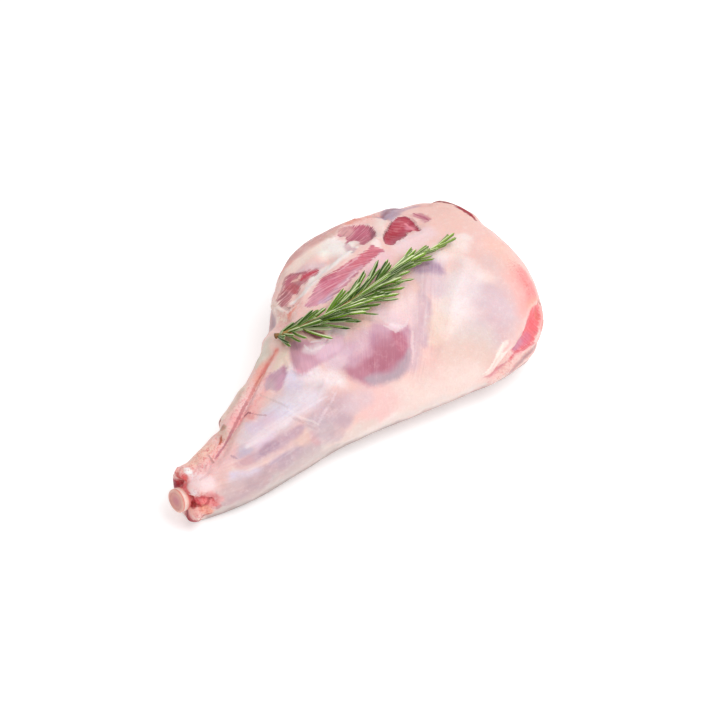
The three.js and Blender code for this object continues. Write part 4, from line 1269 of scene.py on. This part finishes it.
class Lump(NamedTuple):
    """Small lumps all over the meat, of one size and height."""

    seed: int
    cell: float
    height: float


@dataclass
class LegFlesh:
    """The meat of the leg: a fine skin on the leg's form, with its relief and its painted tints."""

    form: LegForm
    finish: RawLamb = field(default_factory=RawLamb)
    shank_rings: int = 14
    ankle_rings: int = 34
    body_rings: int = 276
    rump_rings: int = 40
    ankle_end: float = -142
    top_points: int = 224  # ring points where the leg is seen, and on the underside
    base_points: int = 36
    top_from: float = -25
    top_to: float = 205
    most_depth: float = 20  # distance from a window's edge past which it isn't measured
    grain_margin: float = 1.5  # how far past a window's edge its fibres' direction holds
    sunk_from: float = -0.6  # depth inside a window's edge where it starts to sink, and over which
    sunk_over: float = 2.2
    relief_floor: float = 3  # relief fades in between these heights
    relief_full: float = 11
    lumps: tuple[Lump, ...] = (Lump(1, 11, 0.45), Lump(2, 4.2, 0.14), Lump(3, 1.9, 0.06))
    raw_lumps: tuple[Lump, ...] = (Lump(4, 3.4, 0.8), Lump(5, 1.7, 0.35))
    brush_taper: float = 0.6  # how much a long wash thins out at its ends
    taper_from: float = 1  # length, as times its size, from which a wash thins out, and over which
    taper_over: float = 2.5
    sways: tuple[Sway, ...] = (Sway((11, 12, 13), 8, 0.2, 2), Sway((14, 15, 16), 2.8, 0.1, 0.5))
    patch_cell: float = 6
    patchiness: float = 0.14  # how unevenly a wash covers
    thread_ends: float = 0.4  # a thin line's width at its ends, as a share of its full width
    thread_reach: float = 3  # distance to a thin line past which it isn't measured
    # painted shade: how dark the meat is made near the table and where it faces down
    contact_shade_tint: str = "#95827f"
    contact_shade_strength: float = 0.75
    contact_height: float = 4
    under_from: float = 0.36  # how steeply the skin faces down where it starts to darken
    under_span: float = 0.2

    def places(self) -> tuple[Array, Array]:
        """Returns the rings' places along the leg and the turns of the points in a ring."""
        form = self.form
        body_start, body_end = form.first + form.shank_cap, form.last - form.rump_cap
        quarter = np.linspace(0, np.pi / 2, self.shank_rings + 1)[1:-1]
        shank = form.first + form.shank_cap * (1 - np.cos(quarter))
        ankle = np.linspace(body_start, self.ankle_end, self.ankle_rings, endpoint=False)
        body = np.linspace(self.ankle_end, body_end, self.body_rings, endpoint=False)
        rump = body_end + form.rump_cap * np.sin(np.linspace(0, np.pi / 2, self.rump_rings, endpoint=False))
        top = np.linspace(self.top_from, self.top_to, self.top_points, endpoint=False)
        base = np.linspace(self.top_to, self.top_from + 360, self.base_points, endpoint=False)
        return np.concatenate([shank, ankle, body, rump]), np.concatenate([top, base])

    def window_fields(self, marks: Array, skin: Array) -> dict[str, Array]:
        """Measures each point against the nearest window.

        Args:
            marks: The points' (at, turn) places.
            skin: Their places on the plain form.

        Returns:
            Depth inside the edge in millimetres, and that window's softness, tint, opacity,
            feather, fibre, grain direction and sinking depth.
        """
        count = len(marks)
        depth = np.full(count, -np.inf)
        found = {name: np.zeros(count) for name in ("opacity", "feather", "fibre", "grain", "sunk")}
        found["softness"] = np.ones(count)
        tint = np.tile(rgb(WINDOWS[0].tint), (count, 1))
        for window in WINDOWS:
            reach = 4 * window.softness + 4
            outline = np.array(window.outline, dtype=float)
            far = distance_to_chain(skin, self.form.chain(window.outline, closed=True), reach)
            within = inside_outline(marks, outline)
            signed = np.where(within, np.minimum(far, reach), -far)
            better = signed > depth
            depth[better] = signed[better]
            tint[better] = rgb(window.tint)
            for name in found:
                found[name][better] = getattr(window, name)
        found["depth"] = np.clip(depth, -self.most_depth, self.most_depth)
        found["tint"] = tint
        return found

    def washed(self, base: Array, washes: tuple[Wash, ...], spots: Array) -> Array:
        """Lays washes over a tint, each with an uneven edge.

        Args:
            base: The linear tint of each point before them.
            washes: The washes in order.
            spots: Where each point lies, on the plain form.

        Returns:
            The linear tint of each point.
        """
        bends = [np.column_stack([Unevenness(seed).sample(spots, sway.cell) for seed in sway.seeds])
                 for sway in self.sways]
        patchy = 1 + self.patchiness * Unevenness(17).sample(spots, self.patch_cell)
        tint = np.power(base, 1 / GAMMA)
        for wash in washes:
            size = wash.core + wash.fade
            shift = sum(min(sway.share * size, sway.most) * bend for sway, bend in zip(self.sways, bends))
            chain = self.form.chain(wash.path)
            run = np.linalg.norm(np.diff(chain, axis=0), axis=1).sum()
            taper = self.brush_taper * smooth((run / size - self.taper_from) / self.taper_over)
            far = distance_to_chain(spots + shift, chain, size, taper)
            share = np.clip((far - wash.core) / wash.fade, 0, 1)
            weight = np.clip(wash.strength * patchy, 0, 1) * (1 - share**2) ** 2
            tint += weight[:, None] * (np.power(rgb(wash.tint), 1 / GAMMA) - tint)
        return np.power(tint, GAMMA)

    def thread_fields(self, skin: Array, normals: Array) -> dict[str, Array]:
        """Measures each point against the nearest thin line.

        Args:
            skin: The points on the plain form.
            normals: The form's outward directions there.

        Returns:
            Signed and plain distance in millimetres, and that line's half width, strength and tint.
        """
        count = len(skin)
        found = {name: np.full(count, self.thread_reach) for name in ("near", "side")}
        found["width"], found["strength"] = np.ones(count), np.zeros(count)
        found["tint"] = np.tile(rgb(THREADS[0].tint), (count, 1))
        for thread in THREADS:
            chain = self.form.chain(thread.path, curved=len(thread.path) > 2)
            run = shares_along(chain)
            for a, b, start, end in zip(chain[:-1], chain[1:], run[:-1], run[1:]):
                step = b - a
                length = max(np.linalg.norm(step), 1e-9)
                reach = length / 2 + self.thread_reach
                close = np.flatnonzero(np.all(np.abs(skin - (a + b) / 2) < reach, axis=1))
                share = np.clip(((skin[close] - a) @ step) / length**2, 0, 1)
                off = skin[close] - a - share[:, None] * step
                far = np.linalg.norm(off, axis=1)
                better = far < found["near"][close]
                picks = close[better]
                across = np.cross(step / length, normals[picks])
                full = fullness_along(start + share[better] * (end - start))
                found["near"][picks] = far[better]
                found["side"][picks] = (off[better] * across).sum(axis=1)
                found["width"][picks] = thread.width * (self.thread_ends + (1 - self.thread_ends) * full)
                found["strength"][picks] = thread.strength
                found["tint"][picks] = rgb(thread.tint)
        return found

    def relief(self, skin: Array, windows: dict[str, Array], raw: Array) -> Array:
        """Sums the swells, furrows, sunk windows and small lumps.

        Args:
            skin: The points on the plain form.
            windows: What window_fields found.
            raw: How raw each point is.

        Returns:
            How far each point moves outwards, in millimetres.
        """
        total = np.zeros(len(skin))
        for swell in (*MAIN_SWELLS, *FINE_SWELLS):
            share = distance_to_chain(skin, self.form.chain(swell.path), swell.reach) / swell.reach
            total += swell.lift * (1 - np.minimum(share, 1) ** 2) ** 2
        total -= windows["sunk"] * smooth((windows["depth"] - self.sunk_from) / self.sunk_over)
        for lumps, share in ((self.lumps, 1), (self.raw_lumps, raw)):
            for lump in lumps:
                total += share * lump.height * Unevenness(lump.seed).sample(skin, lump.cell)
        height = skin[:, 2]
        return total * smooth((height - self.relief_floor) / (self.relief_full - self.relief_floor))

    def shown(self, band: Band, skin: Array) -> Array:
        """Returns how strongly a band shows at each point of the plain form, from 0 to 1."""
        far = distance_to_chain(skin, self.form.chain(band.path), band.core + band.fade)
        return band.strength * (1 - smooth((far - band.core) / band.fade))

    def grain_fields(self, marks: Array, grid: Array, windows: dict[str, Array]) -> tuple[Array, Array]:
        """Works out the streaks' strength and the fibres' coordinates.

        Args:
            marks: The points' (at, turn) places.
            grid: The plain form by ring and place round it.
            windows: What window_fields found.

        Returns:
            The streaks' strength, and for each point millimetres along and across its fibres.
        """
        skin = grid.reshape(-1, 3)
        strength = np.zeros(len(skin))
        direction = np.zeros(len(skin))
        for streak in STREAKS:
            share = self.shown(streak, skin)
            better = share > strength
            strength[better] = share[better]
            direction[better] = streak.grain
        inside = windows["depth"] > -self.grain_margin
        direction[inside] = windows["grain"][inside]
        steps = np.linalg.norm(np.diff(grid, axis=1), axis=2)
        round_it = np.concatenate([np.zeros((len(grid), 1)), np.cumsum(steps, axis=1)], axis=1)
        turns = marks.reshape(*grid.shape[:2], 2)[0, :, 1]
        top = int(np.argmin(np.abs(turns - 90)))
        arc = (round_it - round_it[:, top:top + 1]).ravel()
        angle = np.radians(direction)
        along = marks[:, 0] * np.cos(angle) + arc * np.sin(angle)
        across = arc * np.cos(angle) - marks[:, 0] * np.sin(angle)
        return strength, np.column_stack([along, across, direction])

    def rawness(self, skin: Array) -> Array:
        """Returns how raw each point of the plain form is, from 0 to 1."""
        return np.max([self.shown(place, skin) for place in RAW_PLACES], axis=0)

    def paint_underside_shade(self, tint: Array, points: Array, normals: Array) -> Array:
        """Paints shade into a tint: darker where the meat nears what it lies on and where it faces down.

        Args:
            tint: The linear tint of each point.
            points: The points.
            normals: The form's outward directions there.

        Returns:
            The linear tint of each point.
        """
        low = 1 - smooth(points[:, 2] / self.contact_height)
        under = smooth((-normals[:, 2] - self.under_from) / self.under_span)
        share = self.contact_shade_strength * np.maximum(low, under)
        return tint + share[:, None] * (rgb(self.contact_shade_tint) - tint)

    def build(self) -> Piece:
        """Makes the piece with its painted points."""
        rings, turns = self.places()
        at, turn = np.meshgrid(rings, turns, indexing="ij")
        marks = np.column_stack([at.ravel(), turn.ravel()])
        grid = self.form.skin(at, turn)
        skin = grid.reshape(-1, 3)
        windows = self.window_fields(marks, skin)
        raw = self.rawness(skin)
        normals = self.form.normal(at, turn).reshape(-1, 3)
        points = skin + self.relief(skin, windows, raw)[:, None] * normals
        points[:, 2] = np.maximum(points[:, 2], 0)
        zero = np.zeros(1)
        start = self.form.skin(zero + self.form.first, zero)
        end = self.form.skin(zero + self.form.last, zero)
        data = loft(points.reshape(grid.shape), start, end)
        piece = make_piece("lamb_flesh", data, self.finish.make())
        base = np.tile(rgb(FAT_TINT), (len(skin), 1))
        strength, grain = self.grain_fields(marks, grid, windows)
        painted = {
            # the skin's tint carries painted shade near the table and on the underside
            "skin_tint": self.paint_underside_shade(self.washed(base, SKIN_WASHES, skin), points, normals),
            "lean_tint": self.washed(windows["tint"], LEAN_WASHES, skin),
            "lean_depth": windows["depth"],
            "lean_softness": windows["softness"],
            "lean_opacity": windows["opacity"],
            "lean_feather": windows["feather"],
            "lean_fibre": windows["fibre"],
            "streak": strength,
            "raw": raw,
            "grain": grain,
        }
        painted |= {f"thread_{name}": values for name, values in self.thread_fields(skin, normals).items()}
        for name, values in painted.items():
            ends = values[[0, -1]]
            paint_values(piece, name, np.concatenate([values, ends]))
        return piece


# ---- The shank bone ----


class BoneRing(NamedTuple):
    """One ring of the bone: its distance behind the sawn face, its radius and its tint."""

    behind: float
    radius: float
    tint: str


@dataclass
class ShankBone:
    """The sawn end of the shank bone, with the shaft that runs back inside the meat."""

    finish: SawnBone = field(default_factory=SawnBone)
    face: Spot = (-173, -56.6, 26.6)
    facing: Spot = (-0.95, -0.1, 0.3)
    straight: float = 9
    shaft: tuple[Spot, ...] = (
        (-140, -50, 22), (-112, -45, 24), (-84, -39, 27), (-62, -33, 29))
    sides: int = 72
    wobble: float = 0.35  # how far its outline strays from round
    face_rings: tuple[BoneRing, ...] = (
        BoneRing(0.75, 1.2, "#cc7680"), BoneRing(0.7, 2.6, "#cf828a"), BoneRing(0.5, 4.0, "#d68c88"),
        BoneRing(0.25, 5.4, "#de9a90"), BoneRing(0.3, 6.2, "#d48a80"), BoneRing(0.0, 7.1, "#e0a094"),
        BoneRing(0.05, 8.2, "#e9b8a8"))
    wall_rings: tuple[BoneRing, ...] = (
        BoneRing(0.3, 8.9, "#eab3a4"), BoneRing(0.8, 9.2, "#e9a294"), BoneRing(1.3, 9.15, "#d8604f"),
        BoneRing(1.7, 9.05, "#f3cabe"), BoneRing(2.6, 9.25, "#f8dfd4"), BoneRing(3.8, 9.25, "#f3cfc2"),
        BoneRing(5.0, 9.15, "#eebbac"), BoneRing(6.2, 8.9, "#e8716c"), BoneRing(8.0, 8.7, "#d0585a"),
        BoneRing(10, 8.6, "#c8605c"), BoneRing(13, 8.6, "#d9a39a"), BoneRing(26, 8.2, "#e8c6b8"),
        BoneRing(50, 7.6, "#e8c6b8"), BoneRing(78, 7.8, "#e8c6b8"), BoneRing(96, 8.4, "#e8c6b8"),
        BoneRing(104, 7.6, "#e8c6b8"), BoneRing(107, 4.6, "#e8c6b8"))

    def build(self) -> Piece:
        """Makes the piece with the tint of each ring."""
        face = np.array(self.face)
        facing = np.array(self.facing) / np.linalg.norm(self.facing)
        knots = [face, face - facing * self.straight / 2, face - facing * self.straight]
        line = Route(np.vstack([*knots, np.array(self.shaft)]))
        steps = (*self.face_rings, *self.wall_rings)
        angles = np.linspace(0, 2 * np.pi, self.sides, endpoint=False)
        rings = []
        for step in steps:
            centre, forward = line.at(step.behind)
            stray = self.wobble * (0.6 * np.cos(2 * angles + 0.4) + 0.4 * np.cos(3 * angles + 1.1))
            radius = step.radius + stray * min(step.radius / 9, 1)
            rings.append(centre + directions_round(forward, angles) * radius[:, None])
        start = line.at(steps[0].behind)[0]
        end = line.at(steps[-1].behind)[0]
        piece = make_piece("sawn_shank_bone", loft(np.array(rings), start, end), self.finish.make())
        tints = [rgb(step.tint) for step in steps for _ in range(self.sides)]
        paint_values(piece, "bone_tint", np.array([*tints, tints[0], tints[-1]]))
        return piece


class Route:
    """A smooth curve through given points, read by distance along it."""

    def __init__(self, knots: Array, samples: int = 400) -> None:
        """Samples the curve.

        Args:
            knots: The points that it passes through.
            samples: How many points stand for it.
        """
        spans = np.linalg.norm(np.diff(knots, axis=0), axis=1)
        marks = np.concatenate([[0], np.cumsum(spans)])
        self.points = curve_through(marks, knots, np.linspace(0, marks[-1], samples))
        lengths = np.linalg.norm(np.diff(self.points, axis=0), axis=1)
        self.marks = np.concatenate([[0], np.cumsum(lengths)])
        self.length = float(self.marks[-1])

    def at(self, distance: float) -> tuple[Array, Array]:
        """Returns the point at a distance along the curve, and its direction there."""
        wanted = (distance, max(distance - 0.5, 0), min(distance + 0.5, self.length))
        point, low, high = np.column_stack([np.interp(wanted, self.marks, axis) for axis in self.points.T])
        return point, (high - low) / np.linalg.norm(high - low)


# ---- The rosemary ----


class Ground:
    """The meat that the sprig lies on, asked for its height."""

    ceiling = 300  # height from which it is felt for

    def __init__(self, piece: Piece) -> None:
        """Reads the piece's mesh."""
        vertices = [v.co.copy() for v in piece.data.vertices]
        self.tree = BVHTree.FromPolygons(vertices, [tuple(p.vertices) for p in piece.data.polygons])

    def height(self, x: float, y: float) -> float:
        """Returns the meat's height in millimetres under a point, or 0 beside it."""
        hit = self.tree.ray_cast(Vector((x, y, self.ceiling)) * MM, Vector((0, 0, -1)))
        return hit[0].z / MM if hit[0] is not None else 0.0

    def lifted(self, points: Array, clearance: float) -> Array:
        """Lifts points that would come closer to the meat than a clearance."""
        least = np.array([self.height(x, y) for x, y in points[:, :2]]) + clearance
        return np.column_stack([points[:, :2], np.maximum(points[:, 2], least)])


class Side(Enum):
    """Which side of the stem a needle springs from."""

    NEAR = -1
    FAR = 1


class Fan(NamedTuple):
    """Needles that spring from one knot of the stem."""

    share: float  # place along the stem
    count: int
    length: float
    spread: float  # degrees from the stem


FANS = {
    Side.NEAR: (
        Fan(0.02, 5, 19, 56), Fan(0.06, 6, 23, 44), Fan(0.12, 8, 30, 34), Fan(0.18, 9, 32, 34),
        Fan(0.24, 9, 34, 33), Fan(0.31, 9, 35, 32), Fan(0.38, 9, 36, 33), Fan(0.45, 9, 34, 31),
        Fan(0.52, 8, 30, 27), Fan(0.59, 7, 26, 23), Fan(0.66, 6, 26, 22), Fan(0.72, 5, 25, 19),
        Fan(0.79, 3, 22, 14), Fan(0.90, 3, 20, 12)),
    Side.FAR: (
        Fan(0.02, 6, 20, 16), Fan(0.08, 5, 27, 14), Fan(0.15, 3, 22, 14), Fan(0.25, 7, 27, 20),
        Fan(0.31, 7, 29, 22), Fan(0.38, 7, 29, 22), Fan(0.46, 7, 26, 20), Fan(0.53, 7, 23, 13),
        Fan(0.60, 6, 24, 9), Fan(0.67, 5, 24, 8), Fan(0.76, 3, 20, 3), Fan(0.85, 2, 20, 5)),
}


@dataclass
class RosemarySprig:
    """A sprig of rosemary: a woody stem with fans of needles that lean towards its tip."""

    ground: Ground
    bark: RosemaryBark = field(default_factory=RosemaryBark)
    leaf: RosemaryLeaf = field(default_factory=RosemaryLeaf)
    stem_path: tuple[Spot, ...] = (
        (-46, 5, 73), (-33, -3, 80), (-18, -8, 85.5), (6, -11.5, 90.5), (39, -8, 95), (72, -3, 96.5),
        (96, -3, 95.5), (114, 3, 95.5))
    radius_cut: float = 1.5
    radius_tip: float = 0.7
    stem_sides: int = 14
    stem_rings: int = 150
    knots: int = 14
    knot_swell: float = 0.16
    cut_flare: float = 0.35
    flare_share: float = 0.02  # share of the stem that flares towards the cut
    scatter: float = 0.022  # how far along the stem a fan's roots stray
    least_rise: float = -8  # degrees above the level at which a needle leaves the stem
    most_rise: float = 54
    fan_width: float = 10  # degrees by which a fan's needles differ
    length_variation: float = 0.22
    needle_width: float = 2.4
    needle_thickness: float = 1.15
    hug: float = 0.14  # share of the spread that a needle's tip gives up
    twist: float = 34  # degrees by which its face turns over, at random
    clearance: float = 0.5
    needle_steps: int = 12
    root_width: float = 0.45  # a needle's width at its root as a share of its full width
    widest_from: float = 0.35
    blunt_from: float = 0.86
    greening_from: float = 0.5  # share of the stem past which needles are young
    seed: int = 20417

    def stem_line(self) -> Route:
        """Returns the stem's centre line, lifted clear of the meat."""
        plain = Route(np.array(self.stem_path))
        points = np.array([plain.at(d)[0] for d in np.linspace(0, plain.length, 27)])
        return Route(self.ground.lifted(points, self.radius_cut + self.clearance))

    def build_stem(self, line: Route) -> Piece:
        """Makes the stem, knotted where the tufts spring from it.

        Args:
            line: Its centre line.

        Returns:
            The stem.
        """
        angles = np.linspace(0, 2 * np.pi, self.stem_sides, endpoint=False)
        rings, climbs, grain = [], [], []
        for share in np.linspace(0, 1, self.stem_rings):
            centre, forward = line.at(share * line.length)
            radius = self.radius_cut + (self.radius_tip - self.radius_cut) * share
            knot = self.knot_swell * max(math.cos(2 * math.pi * share * self.knots), 0) ** 4
            flare = self.cut_flare * max(1 - share / self.flare_share, 0)
            ridges = 1 + 0.07 * np.sin(5 * angles + 9 * share) + 0.05 * np.sin(3 * angles - 40 * share)
            size = radius * (1 + knot + flare) * ridges
            rings.append(centre + directions_round(forward, angles) * size[:, None])
            climbs.extend([share] * self.stem_sides)
            grain.extend((share * line.length, 1.5 * math.cos(a), 1.5 * math.sin(a)) for a in angles)
        data = loft(np.array(rings), line.at(0)[0], line.at(line.length)[0])
        piece = make_piece("rosemary_stem", data, self.bark.make())
        paint_values(piece, "climb", np.array([*climbs, 0.0, 1.0]))
        paint_values(piece, "grain", np.array([*grain, grain[0], grain[-1]]))
        return piece

    def needle(self, root: Array, forward: Array, outward: Array, length: float,
               spread: float, roll: float, width: float) -> tuple[MeshData, Array, Array]:
        """Shapes one needle: a narrow blade with its edges rolled under and a blunt tip.

        Args:
            root: Where it springs from the stem.
            forward: The stem's direction there.
            outward: The way it leans out from the stem.
            length: Its length.
            spread: Degrees between it and the stem at its root.
            roll: Degrees that its face is turned about its own length.
            width: Its greatest width.

        Returns:
            Its mesh, and for each point its place across the blade and whether it is underneath.
        """
        shares = np.linspace(0, 1, self.needle_steps)
        angle = math.radians(spread) * (1 + self.hug - 2 * self.hug * shares)
        heading = np.outer(np.cos(angle), forward) + np.outer(np.sin(angle), outward)
        steps = heading[:-1] * length / (self.needle_steps - 1)
        centres = root + np.vstack([np.zeros(3), np.cumsum(steps, axis=0)])
        centres = self.ground.lifted(centres, self.needle_thickness / 2 + self.clearance)
        centres[:, 2] = np.convolve(np.pad(centres[:, 2], 1, mode="edge"), (0.25, 0.5, 0.25), mode="valid")
        along = np.gradient(centres, axis=0)
        along /= np.linalg.norm(along, axis=1, keepdims=True)
        tilt = math.radians(roll)
        section = np.array([(1, -0.55), (0.86, 0.1), (0.45, 0.42), (0, 0.3), (-0.45, 0.42), (-0.86, 0.1),
                            (-1, -0.55), (-0.5, -0.5), (0, -0.3), (0.5, -0.5)])
        rings = []
        for share, centre, ahead in zip(shares, centres, along):
            level, upright = frame_along(ahead)
            side = level * math.cos(tilt) + upright * math.sin(tilt)
            up = upright * math.cos(tilt) - level * math.sin(tilt)
            past = max((share - self.blunt_from) / (1 - self.blunt_from), 0)
            blunt = math.sqrt(max(1 - past**2.4, 0))
            grown = self.root_width + (1 - self.root_width) * float(smooth(share / self.widest_from))
            full = grown * max(blunt, 0.12)
            offsets = (section[:, :1] * side * width / 2 + section[:, 1:] * up * self.needle_thickness)
            rings.append(centre + offsets * full)
        data = loft(np.array(rings), centres[0], centres[-1] + along[-1] * 0.2)
        across = np.tile(section[:, 0], self.needle_steps)
        under = np.tile((section[:, 1] < -0.25).astype(float), self.needle_steps)
        return data, np.append(across, (0, 0)), np.append(under, (0, 0))

    def build_needles(self, line: Route) -> Piece:
        """Makes all the needles as one piece.

        Args:
            line: The stem's centre line.

        Returns:
            The needles.
        """
        draw = np.random.default_rng(self.seed)
        points, faces, across, under, tones, ages = [], [], [], [], [], []
        count = 0
        for side, fan in ((side, fan) for side, fans in FANS.items() for fan in fans):
            for i in range(fan.count):
                share = float(np.clip(fan.share + draw.uniform(-1, 1) * self.scatter, 0.01, 0.995))
                root, forward = line.at(share * line.length)
                level, upright = frame_along(forward)
                step = (i + draw.random()) / fan.count
                rise = math.radians(self.least_rise + (self.most_rise - self.least_rise) * step)
                outward = math.cos(rise) * level * side.value + math.sin(rise) * upright
                spread = fan.spread + self.fan_width * draw.uniform(-1, 1)
                length = fan.length * (1 + self.length_variation * draw.uniform(-0.75, 0.25))
                width = self.needle_width * draw.uniform(0.8, 1.15)
                data, middle, below = self.needle(
                    root, forward, outward, length, spread, draw.normal(0, self.twist), width)
                points.append(data.points)
                faces.extend(tuple(v + count for v in face) for face in data.faces)
                count += len(data.points)
                across.append(middle)
                under.append(below)
                tones.append(np.full(len(data.points), draw.random()))
                youth = float(smooth((share - self.greening_from) / (1 - self.greening_from)))
                ages.append(np.full(len(data.points), youth * 0.75))
        piece = make_piece("rosemary_needles", MeshData(np.vstack(points), faces), self.leaf.make())
        for name, rows in {"across": across, "face": under, "tone": tones, "age": ages}.items():
            paint_values(piece, name, np.concatenate(rows))
        return piece

    def build(self) -> tuple[Piece, Piece]:
        """Makes the stem and the needles."""
        line = self.stem_line()
        return self.build_stem(line), self.build_needles(line)


# ---- The studio ----


@dataclass(frozen=True)
class Studio:
    """A white table in soft light from all round, seen from above the leg's near side."""

    target: Spot = (13, -23, 35)
    azimuth: float = -34
    elevation: float = 48
    distance: float = 1330
    lens: float = 85
    sensor: float = 36
    floor_size: float = 6000
    sky_strength: float = 0.63
    floor_glow: float = 0.3
    key_watts: float = 9.3
    key_size: float = 1100
    key_place: Spot = (350, -500, 1250)

    def back(self) -> Vector:
        """Returns the direction from the target to the camera."""
        a, e = math.radians(self.azimuth), math.radians(self.elevation)
        return Vector((math.sin(a) * math.cos(e), -math.cos(a) * math.cos(e), math.sin(e)))

    def hang(self, thing: bpy.types.Camera | bpy.types.Light, place: Vector, heading: Vector) -> Piece:
        """Hangs a camera or lamp at a place in metres, so that it faces along a heading."""
        holder = bpy.data.objects.new(thing.name, thing)
        holder.location = place
        holder.rotation_mode = "QUATERNION"
        holder.rotation_quaternion = heading.to_track_quat("-Z", "Y")
        bpy.context.scene.collection.objects.link(holder)
        return holder

    def build_camera(self) -> None:
        """Sets up the camera."""
        camera = bpy.data.cameras.new("camera")
        camera.lens = self.lens
        camera.sensor_width = self.sensor
        camera.clip_start, camera.clip_end = 0.05, 50
        place = Vector(self.target) * MM + self.back() * self.distance * MM
        bpy.context.scene.camera = self.hang(camera, place, -self.back())

    def build_floor(self) -> None:
        """Lays the white floor."""
        half = self.floor_size / 2
        corners = np.array([(-half, -half, 0), (half, -half, 0), (half, half, 0), (-half, half, 0)])
        material, tree = new_material("white_table")
        shader = add_node(tree, "BsdfPrincipled", {
            "Base Color": linear("#fafafa"), "Roughness": 0.9, "Specular IOR Level": 0.1,
            "Emission Color": (1.0, 1.0, 1.0, 1.0), "Emission Strength": self.floor_glow})
        add_node(tree, "OutputMaterial", {"Surface": shader})
        make_piece("floor", MeshData(corners, [(0, 1, 2, 3)]), material)

    def build_lights(self) -> None:
        """Hangs one broad lamp in a bright white surround."""
        world = bpy.data.worlds.new("surround")
        world.use_nodes = True
        world.node_tree.nodes.clear()
        sky = add_node(world.node_tree, "Background", {
            "Color": (1.0, 1.0, 1.0, 1.0), "Strength": self.sky_strength})
        add_node(world.node_tree, "OutputWorld", {"Surface": sky})
        bpy.context.scene.world = world
        lamp = bpy.data.lights.new("soft_lamp", "AREA")
        lamp.shape = "DISK"
        lamp.size = self.key_size * MM
        lamp.energy = self.key_watts
        place = Vector(self.key_place) * MM
        self.hang(lamp, place, Vector(self.target) * MM - place)

    def build(self) -> None:
        """Sets up camera, floor and lights."""
        self.build_camera()
        self.build_floor()
        self.build_lights()
        bpy.context.scene.view_settings.view_transform = "Standard"


# ---- The whole ----


def install(piece: Piece, node: str) -> None:
    """Puts a piece in its node's place.

    Args:
        piece: The dressed piece.
        node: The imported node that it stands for.
    """
    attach(piece, "root")
    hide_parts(node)
    LOG.info("%s stands for %s with %d faces", piece.name, node, len(piece.data.polygons))


def main() -> None:
    """Builds the dressed leg and its studio."""
    logging.basicConfig(level=logging.INFO, format="%(name)s: %(message)s")
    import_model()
    Studio().build()
    flesh = LegFlesh(LegForm()).build()
    install(flesh, "leg_meat")
    install(ShankBone().build(), "shank_bone")
    stem, needles = RosemarySprig(Ground(flesh)).build()
    install(stem, "rosemary_sprig")
    install(needles, "rosemary_sprig")


if __name__ == "__main__":
    main()
